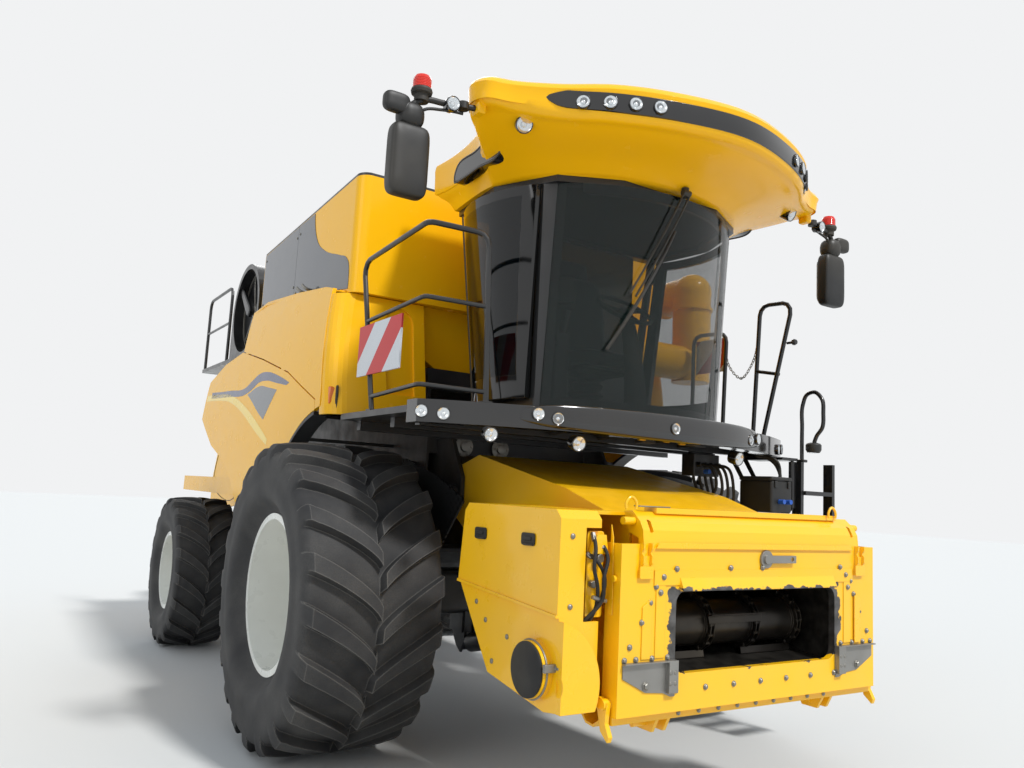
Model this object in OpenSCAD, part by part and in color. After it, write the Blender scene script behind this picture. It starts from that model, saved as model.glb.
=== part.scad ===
// Large rotary combine harvester, without a header, standing on its wheels.
// Sizes are millimetres. Stations (y) are counted from the front axle, back is positive.
// Each node is then moved so that the origin is under the middle of the machine.

/* [Running gear] */
// Distance between the axles
wheelbase = 3770; // [3720:10:3820]
// Front tyre radius over the lugs
front_tyre_r = 985; // [960:5:1000]
// Front tyre section width
front_tyre_w = 900; // [840:10:920]
// Front wheel centre from the machine's centreline
front_track_x = 1515; // [1500:5:1540]
// Rear tyre radius over the lugs
rear_tyre_r = 745; // [720:5:760]
// Rear tyre section width
rear_tyre_w = 600; // [560:10:600]
// Rear wheel centre from the machine's centreline
rear_track_x = 1530; // [1515:5:1545]

/* [Body] */
// Half width of the threshing body
body_x = 780; // [760:5:800]
// Half width of the grain tank
tank_x = 1450; // [1420:5:1460]
// Height of the tank's top at its front
tank_top = 3950; // [3900:10:3960]
// Sheet thickness of big panels
sheet = 20; // [16:1:24]

/* [Feeder] */
// Half width of the feeder housing
feeder_x = 660; // [640:5:670]
// Height of the feeder's pivot shaft
pivot_z = 1700; // [1690:5:1710]
// Half width of the feeder mouth
mouth_x = 610; // [590:5:620]

/* [Cab] */
// Height of the cab floor's top
cab_floor = 2280; // [2270:5:2290]
// Radius of the windscreen's curve
screen_r = 1100; // [1095:1:1105]

/* [Hidden] */
$fn = 48;
eps = 0.3;
gap = 6;
pivot_y = -250;
tank_y0 = 50;
tank_y1 = 2420;
tank_drop = 130;
tank_low = 3060;
tank_round = 90;
deck_z = 2950;
face_y = -2377;
wear = 6;
lip_out = 30;
pin_x0 = 560;
pin_x1 = 750;
front_reach = lip_out - face_y;
mid_y = 2030;
rear_reach = front_reach + 2 * mid_y;
hitch_r = 17;
rear_top = 2 * rear_tyre_r + 55;
shell_r = 4400;
panel_x = 1600;
shell_x = shell_r - panel_x;
shell_z = 2300;

// Which node to build

// Helpers: placing and simple forms

module machine() {
    translate([0, -mid_y, 0])
        children();
}

module both() {
    children();
    mirror([1, 0, 0])
        children();
}

// outline in (y, z) drawn out along x
module xprism(x0, x1) {
    translate([x0, 0, 0])
        rotate([90, 0, 90])
            linear_extrude(x1 - x0)
                children();
}

// outline in (x, z) drawn out along y
module yprism(y0, y1) {
    translate([0, y1, 0])
        rotate([90, 0, 0])
            linear_extrude(y1 - y0)
                children();
}

module zprism(z0, z1) {
    translate([0, 0, z0])
        linear_extrude(z1 - z0)
            children();
}

module block(a, b) {
    translate(a)
        cube(b - a);
}

module bar(a, b, r) {
    d = b - a;
    translate(a)
        rotate([0, acos(d[2] / norm(d)), atan2(d[1], d[0])])
            cylinder(r = r, h = norm(d));
}

function unit(v) = v / norm(v);

// a path whose corners are replaced by arcs of radius rad in k steps
function bent(p, rad, k) = concat(
    [p[0]],
    [
        for (i = [1 : len(p) - 2], j = [0 : k])
            let (
                u = unit(p[i] - p[i - 1]),
                v = unit(p[i + 1] - p[i]),
                half = acos(u * v) / 2,
                w = unit(v - u),
                b = half * (2 * j / k - 1)
            )
            p[i] + w * (rad / cos(half) - rad * cos(b)) + unit(u + v) * rad * sin(b)
    ],
    [p[len(p) - 1]]
);

function tangent(p, i) =
    i == 0 ? unit(p[1] - p[0])
    : i == len(p) - 1 ? unit(p[i] - p[i - 1])
    : unit(unit(p[i + 1] - p[i]) + unit(p[i] - p[i - 1]));

// side directions carried along a path without twist
function carried(p, n, i, list) =
    i == len(p) ? list
    : let (t = tangent(p, i), m = unit(n - (n * t) * t)) carried(p, m, i + 1, concat(list, [m]));

// bent round tube of ten sides; n is a direction across its first stretch
module tube(p, r, n) {
    m = 10;
    side = carried(p, n, 0, []);
    polyhedron(
        points = [
            for (i = [0 : len(p) - 1], k = [0 : m - 1])
                p[i] + r * (cos(360 * k / m) * side[i] + sin(360 * k / m) * cross(tangent(p, i), side[i]))
        ],
        faces = concat(
            [[for (k = [0 : m - 1]) k]],
            [[for (k = [1 : m]) len(p) * m - k]],
            [for (i = [0 : len(p) - 2]) each band(i * m, (i + 1) * m, m)]
        ),
        convexity = 8
    );
}

// all that lies past point p in direction n, up to the size s
module beyond(p, n, s) {
    translate(p)
        rotate([0, acos(n[2]), atan2(n[1], n[0])])
            translate([-s, -s, 0])
                cube([2 * s, 2 * s, 2 * s]);
}

module xcyl(c, r, l) {
    translate(c)
        rotate([0, 90, 0])
            cylinder(r = r, h = l);
}

module rrect(w, h, r) {
    square([w - 2 * r, h], center = true);
    square([w, h - 2 * r], center = true);
    for (sx = [-1, 1], sy = [-1, 1])
        translate([sx * (w / 2 - r), sy * (h / 2 - r)])
            circle(r = r);
}

// Tyres: rings of points round the x axis. Tread rings have four points to a lug.

lug_at = [0, 0.07, 0.36, 0.45];

function ring_pt(x, r, t) = [x, r * cos(t), r * sin(t)];

// columns of a tread ring: x, root radius, lug height, skew in pitches, half a pitch late
function tread_ring(x, r, h, skew, late, n) = [
    for (i = [0 : n - 1], c = [0 : 3])
        let (k = (c + late * 2) % 4,
        t = (i + (late * 0.5) + lug_at[k] - (c + late * 2 > 3 ? 0 : late) - skew))
        ring_pt(x, r + ((k == 1 || k == 2) ? h : 0), 360 * t / n)
];

function side_ring(x, r, skew, late, n) = [
    for (i = [0 : n - 1], c = [0, 2])
        let (k = (c + late * 2) % 4,
        t = (i + (late * 0.5) + lug_at[k] + 0.035 - (c + late * 2 > 3 ? 0 : late) - skew))
        ring_pt(x, r, 360 * t / n)
];

function band(a, b, m) = [
    for (i = [0 : m - 1])
        each [[a + i, b + i, b + (i + 1) % m], [a + i, b + (i + 1) % m, a + (i + 1) % m]]
];

// a ring of 2m points joined to one of m points
function merge_up(a, b, m) = [
    for (i = [0 : m - 1])
        each [
            [a + i, b + 2 * i, b + 2 * i + 1],
            [a + i, b + 2 * i + 1, a + (i + 1) % m],
            [b + 2 * i + 1, b + (2 * i + 2) % (2 * m), a + (i + 1) % m]
        ]
];

function merge_down(a, b, m) = [
    for (i = [0 : m - 1])
        each [
            [b + i, a + 2 * i + 1, a + 2 * i],
            [b + i, b + (i + 1) % m, a + 2 * i + 1],
            [b + (i + 1) % m, a + (2 * i + 2) % (2 * m), a + 2 * i + 1]
        ]
];

// r over lugs, w section width, seat radius and half width of the rim, n lugs a side, skew in pitches
module tyre(r, w, seat_r, seat_x, n, lug, skew) {
    hw = w / 2;
    cr = r - lug;
    bead = seat_r / cos(0.32 * 360 / n) + eps;
    m = 2 * n;
    side = [
        // x, radius
        [seat_x, bead],
        [seat_x, bead + 30],
        [hw, cr * 0.76],
        [hw * 0.985, cr * 0.90]
    ];
    tread = [
        // x, root radius, lug height, skew
        [hw * 0.96, cr * 0.955, r * 0.985 - cr * 0.955, skew],
        [hw * 0.55, cr - 4, lug, skew * 0.55],
        [12, cr, lug, 0]
    ];
    right = [for (s = side) side_ring(-s[0], s[1], skew, 0, n)];
    right_t = [for (s = tread) tread_ring(-s[0], s[1], s[2], s[3], 0, n)];
    left_t = [for (i = [2 : -1 : 0]) tread_ring(tread[i][0], tread[i][1], tread[i][2], tread[i][3], 1, n)];
    left = [for (i = [3 : -1 : 0]) side_ring(side[i][0], side[i][1], skew, 1, n)];
    pts = concat(
        [for (g = right) each g],
        [for (g = right_t) each g],
        [for (g = left_t) each g],
        [for (g = left) each g]
    );
    t0 = 4 * m;
    u0 = t0 + 6 * 2 * m;
    faces = concat(
        [for (j = [0 : 2]) each band(j * m, (j + 1) * m, m)],
        merge_up(3 * m, t0, m),
        [for (j = [0 : 4]) each band(t0 + j * 2 * m, t0 + (j + 1) * 2 * m, 2 * m)],
        merge_down(t0 + 5 * 2 * m, u0, m),
        [for (j = [0 : 2]) each band(u0 + j * m, u0 + (j + 1) * m, m)],
        band(u0 + 3 * m, 0, m)
    );
    polyhedron(points = pts, faces = faces, convexity = 8);
}

// r flange radius, seat radius, w over flanges, disc station, hub radius and reach inwards, bore
module rim(flange_r, seat_r, w, disc_x, hub_r, hub_in, bore_r) {
    t = 12;
    rotate([0, 90, 0])
        difference() {
            union() {
                rotate_extrude($fn = 96)
                    polygon([
                        [seat_r - t, -w / 2], [flange_r, -w / 2], [flange_r, -w / 2 + t], [seat_r,
                        -w / 2 + t],
                        [seat_r, w / 2 - t], [flange_r, w / 2 - t], [flange_r, w / 2], [seat_r - t, w / 2]
                    ]);
                rotate_extrude($fn = 96)
                    polygon([
                        [bore_r + 1, disc_x - 14], [hub_r * 1.5, disc_x - 14], [seat_r - t - 60,
                        disc_x + 40],
                        [seat_r - t + 2, disc_x + 40], [seat_r - t + 2, disc_x + 64],
                        [seat_r - t - 66, disc_x + 64], [hub_r * 1.5 - 6, disc_x + 10], [bore_r + 1,
                        disc_x + 10]
                    ]);
                translate([0, 0, hub_in])
                    cylinder(r = hub_r, h = disc_x - hub_in + 60);
            }
            translate([0, 0, hub_in - 1])
                cylinder(r = bore_r, h = disc_x - hub_in + 41);
        }
}

// Running gear

front_flange_r = 510;
front_seat_r = 482;
front_rim_w = 714;
rear_flange_r = 385;
rear_seat_r = 357;
rear_rim_w = 480;
kingpin_x = 1215;
stub_l = rear_track_x - 100 - gap - kingpin_x;

module front_axle() {
    color([0.18, 0.18, 0.19])
        machine() {
            xprism(-760, 760)
                translate([0, front_tyre_r])
                    rrect(280, 300, 40);
            both() {
                xcyl([755, 0, front_tyre_r], 250, 245);
                xcyl([999, 0, front_tyre_r], 89.5, 260);
            }
            for (s = [-1, 1], p = [400, 480])
                xprism(s * p - 10, s * p + 10)
                    translate([0, front_tyre_r])
                        polygon([[-140, -345], [-90, -425], [-30, -385], [60, -265], [60, -135], [-140,
                        -135]]);
            for (s = [-1, 1])
                block([s * 440 - 60, -120, front_tyre_r - 285], [s * 440 + 60, 60, front_tyre_r - 135]);
            xcyl([390, -90, front_tyre_r - 365], 24, 100);
            xcyl([-490, -90, front_tyre_r - 365], 24, 100);
        }
}

module rim_front() {
    rim(front_flange_r, front_seat_r, front_rim_w, -230, 150, 1005 - front_track_x, 90);
}

module tyre_front() {
    tyre(front_tyre_r, front_tyre_w, front_seat_r, front_rim_w / 2 - 12 - eps, 18, 48, 0.95);
}

module rim_front_right() {
    color([0.88, 0.88, 0.84])
        machine()
            translate([-front_track_x, 0, front_tyre_r])
                mirror([1, 0, 0])
                    rim_front();
}

module rim_front_left() {
    color([0.88, 0.88, 0.84])
        machine()
            translate([front_track_x, 0, front_tyre_r])
                rim_front();
}

module tyre_front_right() {
    color([0.09, 0.09, 0.09])
        machine()
            translate([-front_track_x, 0, front_tyre_r])
                tyre_front();
}

module tyre_front_left() {
    color([0.09, 0.09, 0.09])
        machine()
            translate([front_track_x, 0, front_tyre_r])
                tyre_front();
}

module rim_rear() {
    rim(rear_flange_r, rear_seat_r, rear_rim_w, -140, 105, 1300 - rear_track_x, 50);
}

module tyre_rear() {
    tyre(rear_tyre_r, rear_tyre_w, rear_seat_r, rear_rim_w / 2 - 12 - eps, 16, 38, 0.9);
}

module rim_rear_right() {
    color([0.88, 0.88, 0.84])
        machine()
            translate([-rear_track_x, wheelbase, rear_tyre_r])
                mirror([1, 0, 0])
                    rim_rear();
}

module rim_rear_left() {
    color([0.88, 0.88, 0.84])
        machine()
            translate([rear_track_x, wheelbase, rear_tyre_r])
                rim_rear();
}

module tyre_rear_right() {
    color([0.09, 0.09, 0.09])
        machine()
            translate([-rear_track_x, wheelbase, rear_tyre_r])
                tyre_rear();
}

module tyre_rear_left() {
    color([0.09, 0.09, 0.09])
        machine()
            translate([rear_track_x, wheelbase, rear_tyre_r])
                tyre_rear();
}

module rear_axle() {
    color([0.18, 0.18, 0.19])
        machine() {
            xprism(-1130, 1130)
                translate([wheelbase, rear_tyre_r])
                    rrect(180, 200, 25);
            for (s = [-1, 1], z = [-1, 1])
                translate([s * kingpin_x, wheelbase, rear_tyre_r + z * 115 - 20])
                    difference() {
                        union() {
                            cylinder(r = 75, h = 40);
                            translate([s * -60 - 60, -75, 0])
                                cube([120, 150, 40]);
                        }
                        translate([0, 0, -1])
                            cylinder(r = 36, h = 42);
                    }
            for (s = [-1, 1])
                block([s * 1110 - 30, wheelbase - 75, rear_tyre_r - 135],
                      [s * 1110 + 30, wheelbase + 75, rear_tyre_r + 135]);
            xprism(-60, 60)
                translate([wheelbase, rear_tyre_r + 150])
                    circle(r = 80);
        }
}

module knuckle(s) {
    color([0.18, 0.18, 0.19])
        machine()
            translate([s * kingpin_x, wheelbase, rear_tyre_r]) {
                translate([0, 0, -160])
                    cylinder(r = 35.5, h = 320);
                translate([0, 0, -85])
                    cylinder(r = 68, h = 170);
                xcyl([s > 0 ? 0 : -stub_l, 0, 0], 49.5, stub_l);
                translate([-30, 0, -20])
                    cube([60, 300, 40]);
            }
}

module knuckle_right() {
    knuckle(-1);
}

module knuckle_left() {
    knuckle(1);
}

module tie_rod() {
    color([0.3, 0.3, 0.32])
        machine() {
            xcyl([-1150, wheelbase + 260, rear_tyre_r + 60], 22, 2300);
            for (s = [-1, 1])
                translate([s * kingpin_x, wheelbase + 260, rear_tyre_r + 20.5])
                    cylinder(r = 40, h = 60);
            for (s = [-1, 1])
                translate([s * 1160 - 30, wheelbase + 235, rear_tyre_r + 35])
                    cube([60, 50, 40]);
        }
}

// Feeder

module feeder_side() {
    polygon([
        [face_y + 40, 800], [face_y + 40, 1490], [-1500, 1750], [-500, 1950], [-150, 1850],
        [-110, 1700], [-150, 1560], [-420, 1400], [-2060, 850]
    ]);
}

module feeder_housing() {
    color([0.95, 0.72, 0.05])
        machine() {
            both()
                difference() {
                    xprism(feeder_x - sheet, feeder_x)
                        feeder_side();
                    xcyl([feeder_x - 40, pivot_y, pivot_z], 46, 80);
                }
            // top and floor sheets
            xprism(-feeder_x + 1, feeder_x - 1)
                polygon([
                    [face_y + 40, 1490], [-1500, 1750], [-500, 1950], [-500, 1935],
                    [-1500, 1735], [face_y + 40, 1475]
                ]);
            xprism(-feeder_x + 1, feeder_x - 1)
                polygon([
                    [face_y + 40, 830], [face_y + 40, 850], [-2060, 890], [-420, 1420],
                    [-420, 1400], [-2060, 870]
                ]);
            // lift eyes under the floor
            for (s = [-1, 1], p = [395, 485])
                xprism(s * p - 10, s * p + 10)
                    polygon([[-1620, 1045], [-1560, 900], [-1440, 900], [-1340, 1130]]);
            for (s = [-1, 1])
                xcyl([s * 440 - 60, lift_b[0], lift_b[1]], 20, 120);
        }
}

module feeder_face() {
    color([1.0, 0.78, 0.05])
        machine() {
            yprism(face_y, face_y + 40 - eps)
                difference() {
                    translate([0, 1100])
                        square([1932, 790], center = true);
                    translate([0, 1075])
                        rrect(2 * mouth_x, 390, 60);
                }
            // folded sides
            both()
                block([954, face_y, 705], [966, face_y + 110, 1495]);
            // top beam, a folded channel with end plates that carry an oval hole
            difference() {
                xprism(-830, 830)
                    polygon([
                        [face_y, 1490], [face_y + 39, 1490], [face_y + 39, 1520], [face_y + 110, 1545],
                        [face_y + 150, 1645], [face_y + 90, 1650], [face_y + 30, 1600], [face_y + 8, 1560]
                    ]);
                both()
                    translate([775, face_y + 100, 1578])
                        rotate([90, 0, 0])
                            linear_extrude(200)
                                rrect(22, 62, 10);
            }
            block([-700, face_y + 60, 1640], [700, face_y + 150, 1668]);
            // cover plates on the face and the lip over the mouth
            block([-760, face_y - 6, 1300], [760, face_y + 1, 1372]);
            both()
                block([mouth_x + 75, face_y - 5, 962], [745, face_y + 1, 1301]);
            xprism(-mouth_x + 20, mouth_x - 20)
                polygon([
                    [face_y + 1, 1335], [face_y - 6, 1335], [face_y - lip_out, 1281],
                    [face_y - lip_out, 1273],
                    [face_y + 1, 1285]
                ]);
            // hook brackets
            both() {
                block([786, face_y - 8, 1335], [856, face_y + 1, 1385]);
                for (x = [790, 844])
                    xprism(x, x + 8)
                        polygon([
                            [face_y + 1, 1380], [face_y - 26, 1405], [face_y - 26, 1440], [face_y - 12,
                            1455],
                            [face_y - 26, 1475], [face_y - 26, 1500], [face_y + 1, 1500]
                        ]);
                block([790, face_y - 10, 1385], [852, face_y + 1, 1440]);
            }
            // lower beam and the rounded guard below it
            block([-966, face_y + 30, 668], [966, face_y + 110, 712]);
            xprism(-905, 905)
                difference() {
                    polygon([
                        [face_y + 60, 700], [face_y + 190, 640], [face_y + 240, 606], [face_y + 300, 612],
                        [face_y + 350, 660], [face_y + 350, 712], [face_y + 60, 712]
                    ]);
                    polygon([
                        [face_y + 92, 699], [face_y + 197, 650], [face_y + 244, 618], [face_y + 295, 624],
                        [face_y + 338, 665], [face_y + 338, 699]
                    ]);
                }
            // bottom clevises and their pins
            for (s = [-1, 1], p = [584, 660])
                xprism(s * p - 10, s * p + 10)
                    polygon([
                        [face_y + 36, 700], [face_y + 250, 700], [face_y + 190, 596], [face_y + 90, 596]
                    ]);
            for (s = [-1, 1])
                xcyl([s > 0 ? pin_x0 : -pin_x1, face_y + 140, 631], 16, pin_x1 - pin_x0);
            // lock hooks at the lower corners
            both() {
                xcyl([966, face_y + 60, 760], 26, 44);
                xprism(975, 1000)
                    polygon([
                        [face_y + 30, 770], [face_y + 90, 790], [face_y + 100, 740], [face_y + 70, 640],
                        [face_y + 20, 600], [face_y + 10, 625], [face_y + 40, 680]
                    ]);
            }
        }
}

module wear_plates() {
    color([0.42, 0.41, 0.40])
        machine() {
            both() {
                yprism(face_y - wear - eps, face_y - eps)
                    polygon([
                        [mouth_x + 2, 950], [940, 950], [940, 880], [800, 810], [690, 800], [640, 780],
                        [mouth_x + 2, 780]
                    ]);
                block([mouth_x + 2, face_y - lip_out, 944], [946, face_y - wear, 950]);
                block([mouth_x + 2, face_y - lip_out, 800], [mouth_x + 60, face_y - wear, 944]);
            }
            // lock lever on the face
            translate([29, face_y - eps, 1425])
                rotate([90, 0, 0]) {
                    cylinder(r = 46, h = 12);
                    cylinder(r = 26, h = 22);
                }
            difference() {
                block([29, face_y - 21, 1405], [252, face_y - 11, 1445]);
                translate([222, face_y, 1425])
                    rotate([90, 0, 0])
                        cylinder(r = 12, h = 60);
            }
        }
}

module feeder_chains() {
    color([0.16, 0.15, 0.14])
        machine() {
            xcyl([-560, -2060, 1060], 120, 1120);
            xcyl([-feeder_x + sheet + eps, -2060, 1060], 40, 2 * (feeder_x - sheet - eps));
            for (x = [-520, 0, 520])
                xprism(x - 14, x + 14)
                    difference() {
                        union() {
                            translate([-2060, 1060])
                                circle(r = 150);
                            polygon([[-2090, 1207], [-700, 1600], [-620, 1480], [-2060, 910]]);
                        }
                        translate([-2060, 1060])
                            circle(r = 119);
                        polygon([[-2085, 1175], [-720, 1570], [-660, 1485], [-2040, 945]]);
                    }
            for (k = [0 : 5])
                translate([k % 2 == 0 ? -530 : 0, -2020 + 220 * k, 1221 + 62.2 * k])
                    rotate([16, 0, 0])
                        cube([530, 40, 30]);
        }
}

module drive_cover() {
    color([0.98, 0.75, 0.05])
        machine() {
            difference() {
                xprism(-1250, -760)
                    polygon([
                        [-2290, 735], [-2290, 1600], [-2250, 1640], [-1440, 1640], [-1400, 1600],
                        [-1360, 1230], [-1700, 800], [-2200, 722]
                    ]);
                // open inside and through the slot in front
                xprism(-1232, -778)
                    polygon([
                        [-2272, 750], [-2272, 1594], [-2244, 1622], [-1448, 1622], [-1418, 1594],
                        [-1380, 1238], [-1712, 816], [-2200, 738]
                    ]);
                block([-1110, -2400, 1130], [-976, -2200, 1560]);
                // clear of the face's beams
                block([-1020, -2400, 600], [-700, -2210, 1700]);
            }
            // the upper half of the side stands proud, with a rib along its lower edge
            xprism(-1260, -1249)
                polygon([
                    [-2290, 1150], [-2290, 1600], [-2250, 1640], [-1440, 1640], [-1400, 1600], [-1364, 1215]
                ]);
            xprism(-1268, -1259)
                polygon([[-2290, 1150], [-2290, 1164], [-1366, 1229], [-1364, 1215]]);
            xcyl([-779, -1900, 1200], 60, 779 - feeder_x - eps);
            // shaft collar and the rounded casing behind it
            xcyl([-1300, -2130, 900], 130, 60);
            intersection() {
                yprism(-2330, -2280)
                    difference() {
                        translate([-1330, 850])
                            circle(r = 300, $fn = 96);
                        translate([-1330, 850])
                            circle(r = 90);
                    }
                block([-1250, -2340, 735], [-1021, -2270, 1200]);
            }
        }
}

// Lift cylinders: the lower pins are on the axle's brackets, the rods' eyes at the feeder's floor

lift_a = [-90, 620];
lift_b = [-1500, 950];
lift_len = norm(lift_b - lift_a);
lift_tilt = atan2(lift_b[1] - lift_a[1], -(lift_b[0] - lift_a[0]));

module on_lift() {
    translate([0, lift_a[0], lift_a[1]])
        rotate([90 - lift_tilt, 0, 0])
            children();
}

module lift_barrels() {
    color([0.12, 0.12, 0.13])
        machine()
            for (s = [-1, 1])
                translate([s * 440, 0, 0])
                    on_lift()
                        difference() {
                            union() {
                                xcyl([-25, 0, 0], 45, 50);
                                cylinder(r = 24, h = 90);
                                translate([0, 0, 80])
                                    cylinder(r = 65, h = 870);
                            }
                            xcyl([-40, 0, 0], 24.5, 80);
                            translate([0, 0, 150])
                                cylinder(r = 35.5, h = 900);
                        }
}

module lift_rods() {
    color([0.75, 0.76, 0.78])
        machine()
            for (s = [-1, 1])
                translate([s * 440, 0, 0])
                    on_lift()
                        difference() {
                            union() {
                                translate([0, 0, 600])
                                    cylinder(r = 35, h = lift_len - 630);
                                xcyl([-30, 0, lift_len], 52, 60);
                            }
                            xcyl([-40, 0, lift_len], 34, 80);
                        }
}

// Threshing body, its rails and the front brackets

module chassis() {
    color([0.13, 0.13, 0.14])
        machine() {
            difference() {
                xprism(-body_x, body_x)
                    polygon([
                        [60, 1250], [60, 2100], [120, 2600], [2450, 2600], [2500, deck_z - 40],
                        [4700, deck_z - 40], [4900, 2700], [4900, 1350], [3300, 1150], [700, 950],
                        [250, 1150]
                    ]);
                xprism(-body_x + sheet, body_x - sheet)
                    polygon([
                        [0, 1270], [0, 2080], [140, 2580], [2460, 2580], [2512, deck_z - 60],
                        [4692, deck_z - 60], [4950, 2700], [4950, 1372], [3298, 1172], [702, 972],
                        [255, 1170],
                        [255, 1290]
                    ]);
            }
            // wall over the feeder's rear end
            block([-body_x + 5, 61, 1965], [body_x - 5, 85, 2099]);
            for (x = [-480, -160])
                translate([x, 85, 2030])
                    rotate([90, 0, 0])
                        cylinder(r = 45, h = 44);
            // hitch behind the rear axle
            block([-600, wheelbase + 190, 985], [600, wheelbase + 250, 1055]);
            xprism(-60, 60)
                polygon([
                    [wheelbase + 200, 990], [wheelbase + 200, 1050], [wheelbase + 520, 1050],
                    [wheelbase + 560, 1010], [wheelbase + 560, 790], [wheelbase + 500, 790],
                    [wheelbase + 500, 990]
                ]);
            difference() {
                block([-60, wheelbase + 501, 760], [60, wheelbase + 760, 791]);
                translate([0, wheelbase + 690, 700])
                    cylinder(r = hitch_r, h = 200);
            }
            // rails from the front axle to the rear axle
            for (s = [-1, 1])
                block([s * 620 - 40, 140 + eps, 900], [s * 620 + 40, wheelbase + 200, 1060]);
            for (s = [-1, 1], y = [145, 1500, 3000, wheelbase - 100])
                block([s * 620 - 40, y, 1050], [s * 620 + 40, y + 80, 1250]);
            for (y = [145, 1500])
                block([-600, y, 920], [600, y + 60, 1000]);
            block([-600, wheelbase - 120, rear_tyre_r + 230 + eps], [600, wheelbase + 120, 1055]);
            // pivot brackets
            both()
                xprism(feeder_x + gap, feeder_x + gap + 30)
                    polygon([
                        [-330, 1620], [-330, 1800], [-160, 2070 - eps], [200, 2070 - eps], [200, 1300],
                        [61, 1300]
                    ]);
            both()
                xcyl([feeder_x - sheet - 4, pivot_y, pivot_z], 45.5, 90);
        }
}

// Cab

module cab_frame() {
    color([0.10, 0.10, 0.11])
        machine() {
            zprism(cab_floor - 80, cab_floor)
                intersection() {
                    polygon([[-700, -450], [-790, -1500], [-790, -1700], [790, -1700], [790, -1500],
                    [700, -450]]);
                    translate([0, -519])
                        circle(r = 1087, $fn = 240);
                }
            block([-690, -500, cab_floor - 1], [690, -450, 2700]);
            both()
                bar([690, -475, cab_floor - 20], [865, -475, 3630], 32);
            // frame behind the windscreen
            intersection() {
                screen_shell(screen_r - 40, screen_r - 8 - eps);
                union() {
                    both()
                        yprism(-1700, -1200)
                            polygon([[700, cab_floor - 60], [768, cab_floor - 60], [806, 3605], [700,
                            3605]]);
                    block([-720, -1800, 2215], [720, -1500, cab_floor]);
                    block([-720, -1800, 3540], [720, -1500, 3605]);
                }
            }
            // door hinge blocks
            for (h = [80, 1150])
                on_hinge()
                    translate([-36, -15 + eps, h])
                        cube([34, 40, 60]);
            zprism(3600, 3640)
                difference() {
                    polygon([
                        [-900, -440], [-960, -1000], [-770, -1430], [-400, -1620], [400, -1620],
                        [770, -1430], [960, -1000], [900, -440]
                    ]);
                    polygon([
                        [-800, -520], [-860, -1000], [-690, -1370], [-380, -1540], [380, -1540],
                        [690, -1370], [860, -1000], [800, -520]
                    ]);
                }
        }
}

module screen_shell(r0, r1) {
    translate([0, -1660 + screen_r, 2900])
        rotate([3.6, 0, 0])
            translate([0, 0, -900])
                difference() {
                    cylinder(r = r1, h = 1800, $fn = 240);
                    translate([0, 0, -1])
                        cylinder(r = r0, h = 1802, $fn = 240);
                }
}

module windscreen() {
    color([0.55, 0.70, 0.66, 0.4])
        machine()
            intersection() {
                screen_shell(screen_r - 8, screen_r);
                block([-745, -1800, 2210], [745, -1250, 3598]);
            }
}

// Side glazing: a bowed shell whose axis leans outwards, x and y of the axis at the sill and under the roof
bow_r = 780;
bow_low = [81, -945, cab_floor];
bow_high = [208, -871, 3594];

module bow_shell(t) {
    d = (bow_high - bow_low) / 10;
    difference() {
        bar(bow_low - d, bow_high + d, bow_r, $fn = 240);
        bar(bow_low - 2 * d, bow_high + 2 * d, bow_r - t, $fn = 240);
    }
}

module side_sheet(t, z0) {
    intersection() {
        bow_shell(t);
        xprism(650, 1100)
            polygon([[-1240, z0], [-520, z0], [-520, 3594], [-1322, 3594]]);
    }
}

module door_window(o) {
    xprism(600, 1100)
        polygon([
            [-1180 + o, 2420 + o], [-590 - o, 2420 + o], [-590 - o, 3530 - o], [-1235 + o, 3530 - o]
        ]);
}

module pane() {
    intersection() {
        bow_shell(8);
        door_window(eps);
    }
}

module side_frame() {
    color([0.10, 0.10, 0.11])
        machine()
            mirror([1, 0, 0])
                difference() {
                    side_sheet(30, cab_floor + eps);
                    door_window(0);
                }
}

module side_glass() {
    color([0.55, 0.70, 0.66, 0.4])
        machine()
            mirror([1, 0, 0])
                pane();
}

// door hinge line, leaning with the cab's rear post
module on_hinge() {
    translate([742, -505, cab_floor])
        rotate([0, atan(130 / 1000), 0])
            children();
}

module cab_door() {
    color([0.10, 0.10, 0.11])
        machine() {
            difference() {
                side_sheet(30, cab_floor + gap);
                door_window(0);
            }
        }
}

module door_glass() {
    color([0.55, 0.70, 0.66, 0.4])
        machine()
            pane();
}

module rear_window() {
    color([0.55, 0.70, 0.66, 0.4])
        machine()
            block([-670, -480, 2700 + eps], [670, -472, 3600 - eps]);
}

// roof rim from the middle of its front round to the left rear corner
// columns: x and y of the lip, x and y of the root above the glass, extra height of the underside
roof_rim = [
    [0, -2250, 0, -1700, 0], [430, -2170, 300, -1680, 0], [800, -2015, 560, -1590, 0],
    [1074, -1810, 740, -1450, 20], [1290, -1690, 850, -1320, 50], [1430, -1640, 900, -1230, 70],
    [1465, -1560, 930, -1150, 70], [1440, -1470, 960, -1050, 70], [1250, -1260, 975, -980, 50],
    [1110, -1060, 975, -850, 20], [1050, -850, 960, -700, 0], [1020, -260, 925, -420, 0]
];
// columns: height, share of the way from the root to the lip
roof_layers = [
    [3640.3, 0], [3680, 0.15], [3770, 0.8], [3800, 0.955], [3925, 0.985], [3945, 1], [3975, 0.97],
    [3992, 0.8], [4000, 0.5]
];

// one point of the roof: station of the rim, height, share, side
function roof_pt(q, z, share, s) = [
    s * (q[2] + (q[0] - q[2]) * share),
    q[3] + (q[1] - q[3]) * share,
    z + (share > 0 && z < 3850 ? q[4] * share : 0)
];

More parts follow.
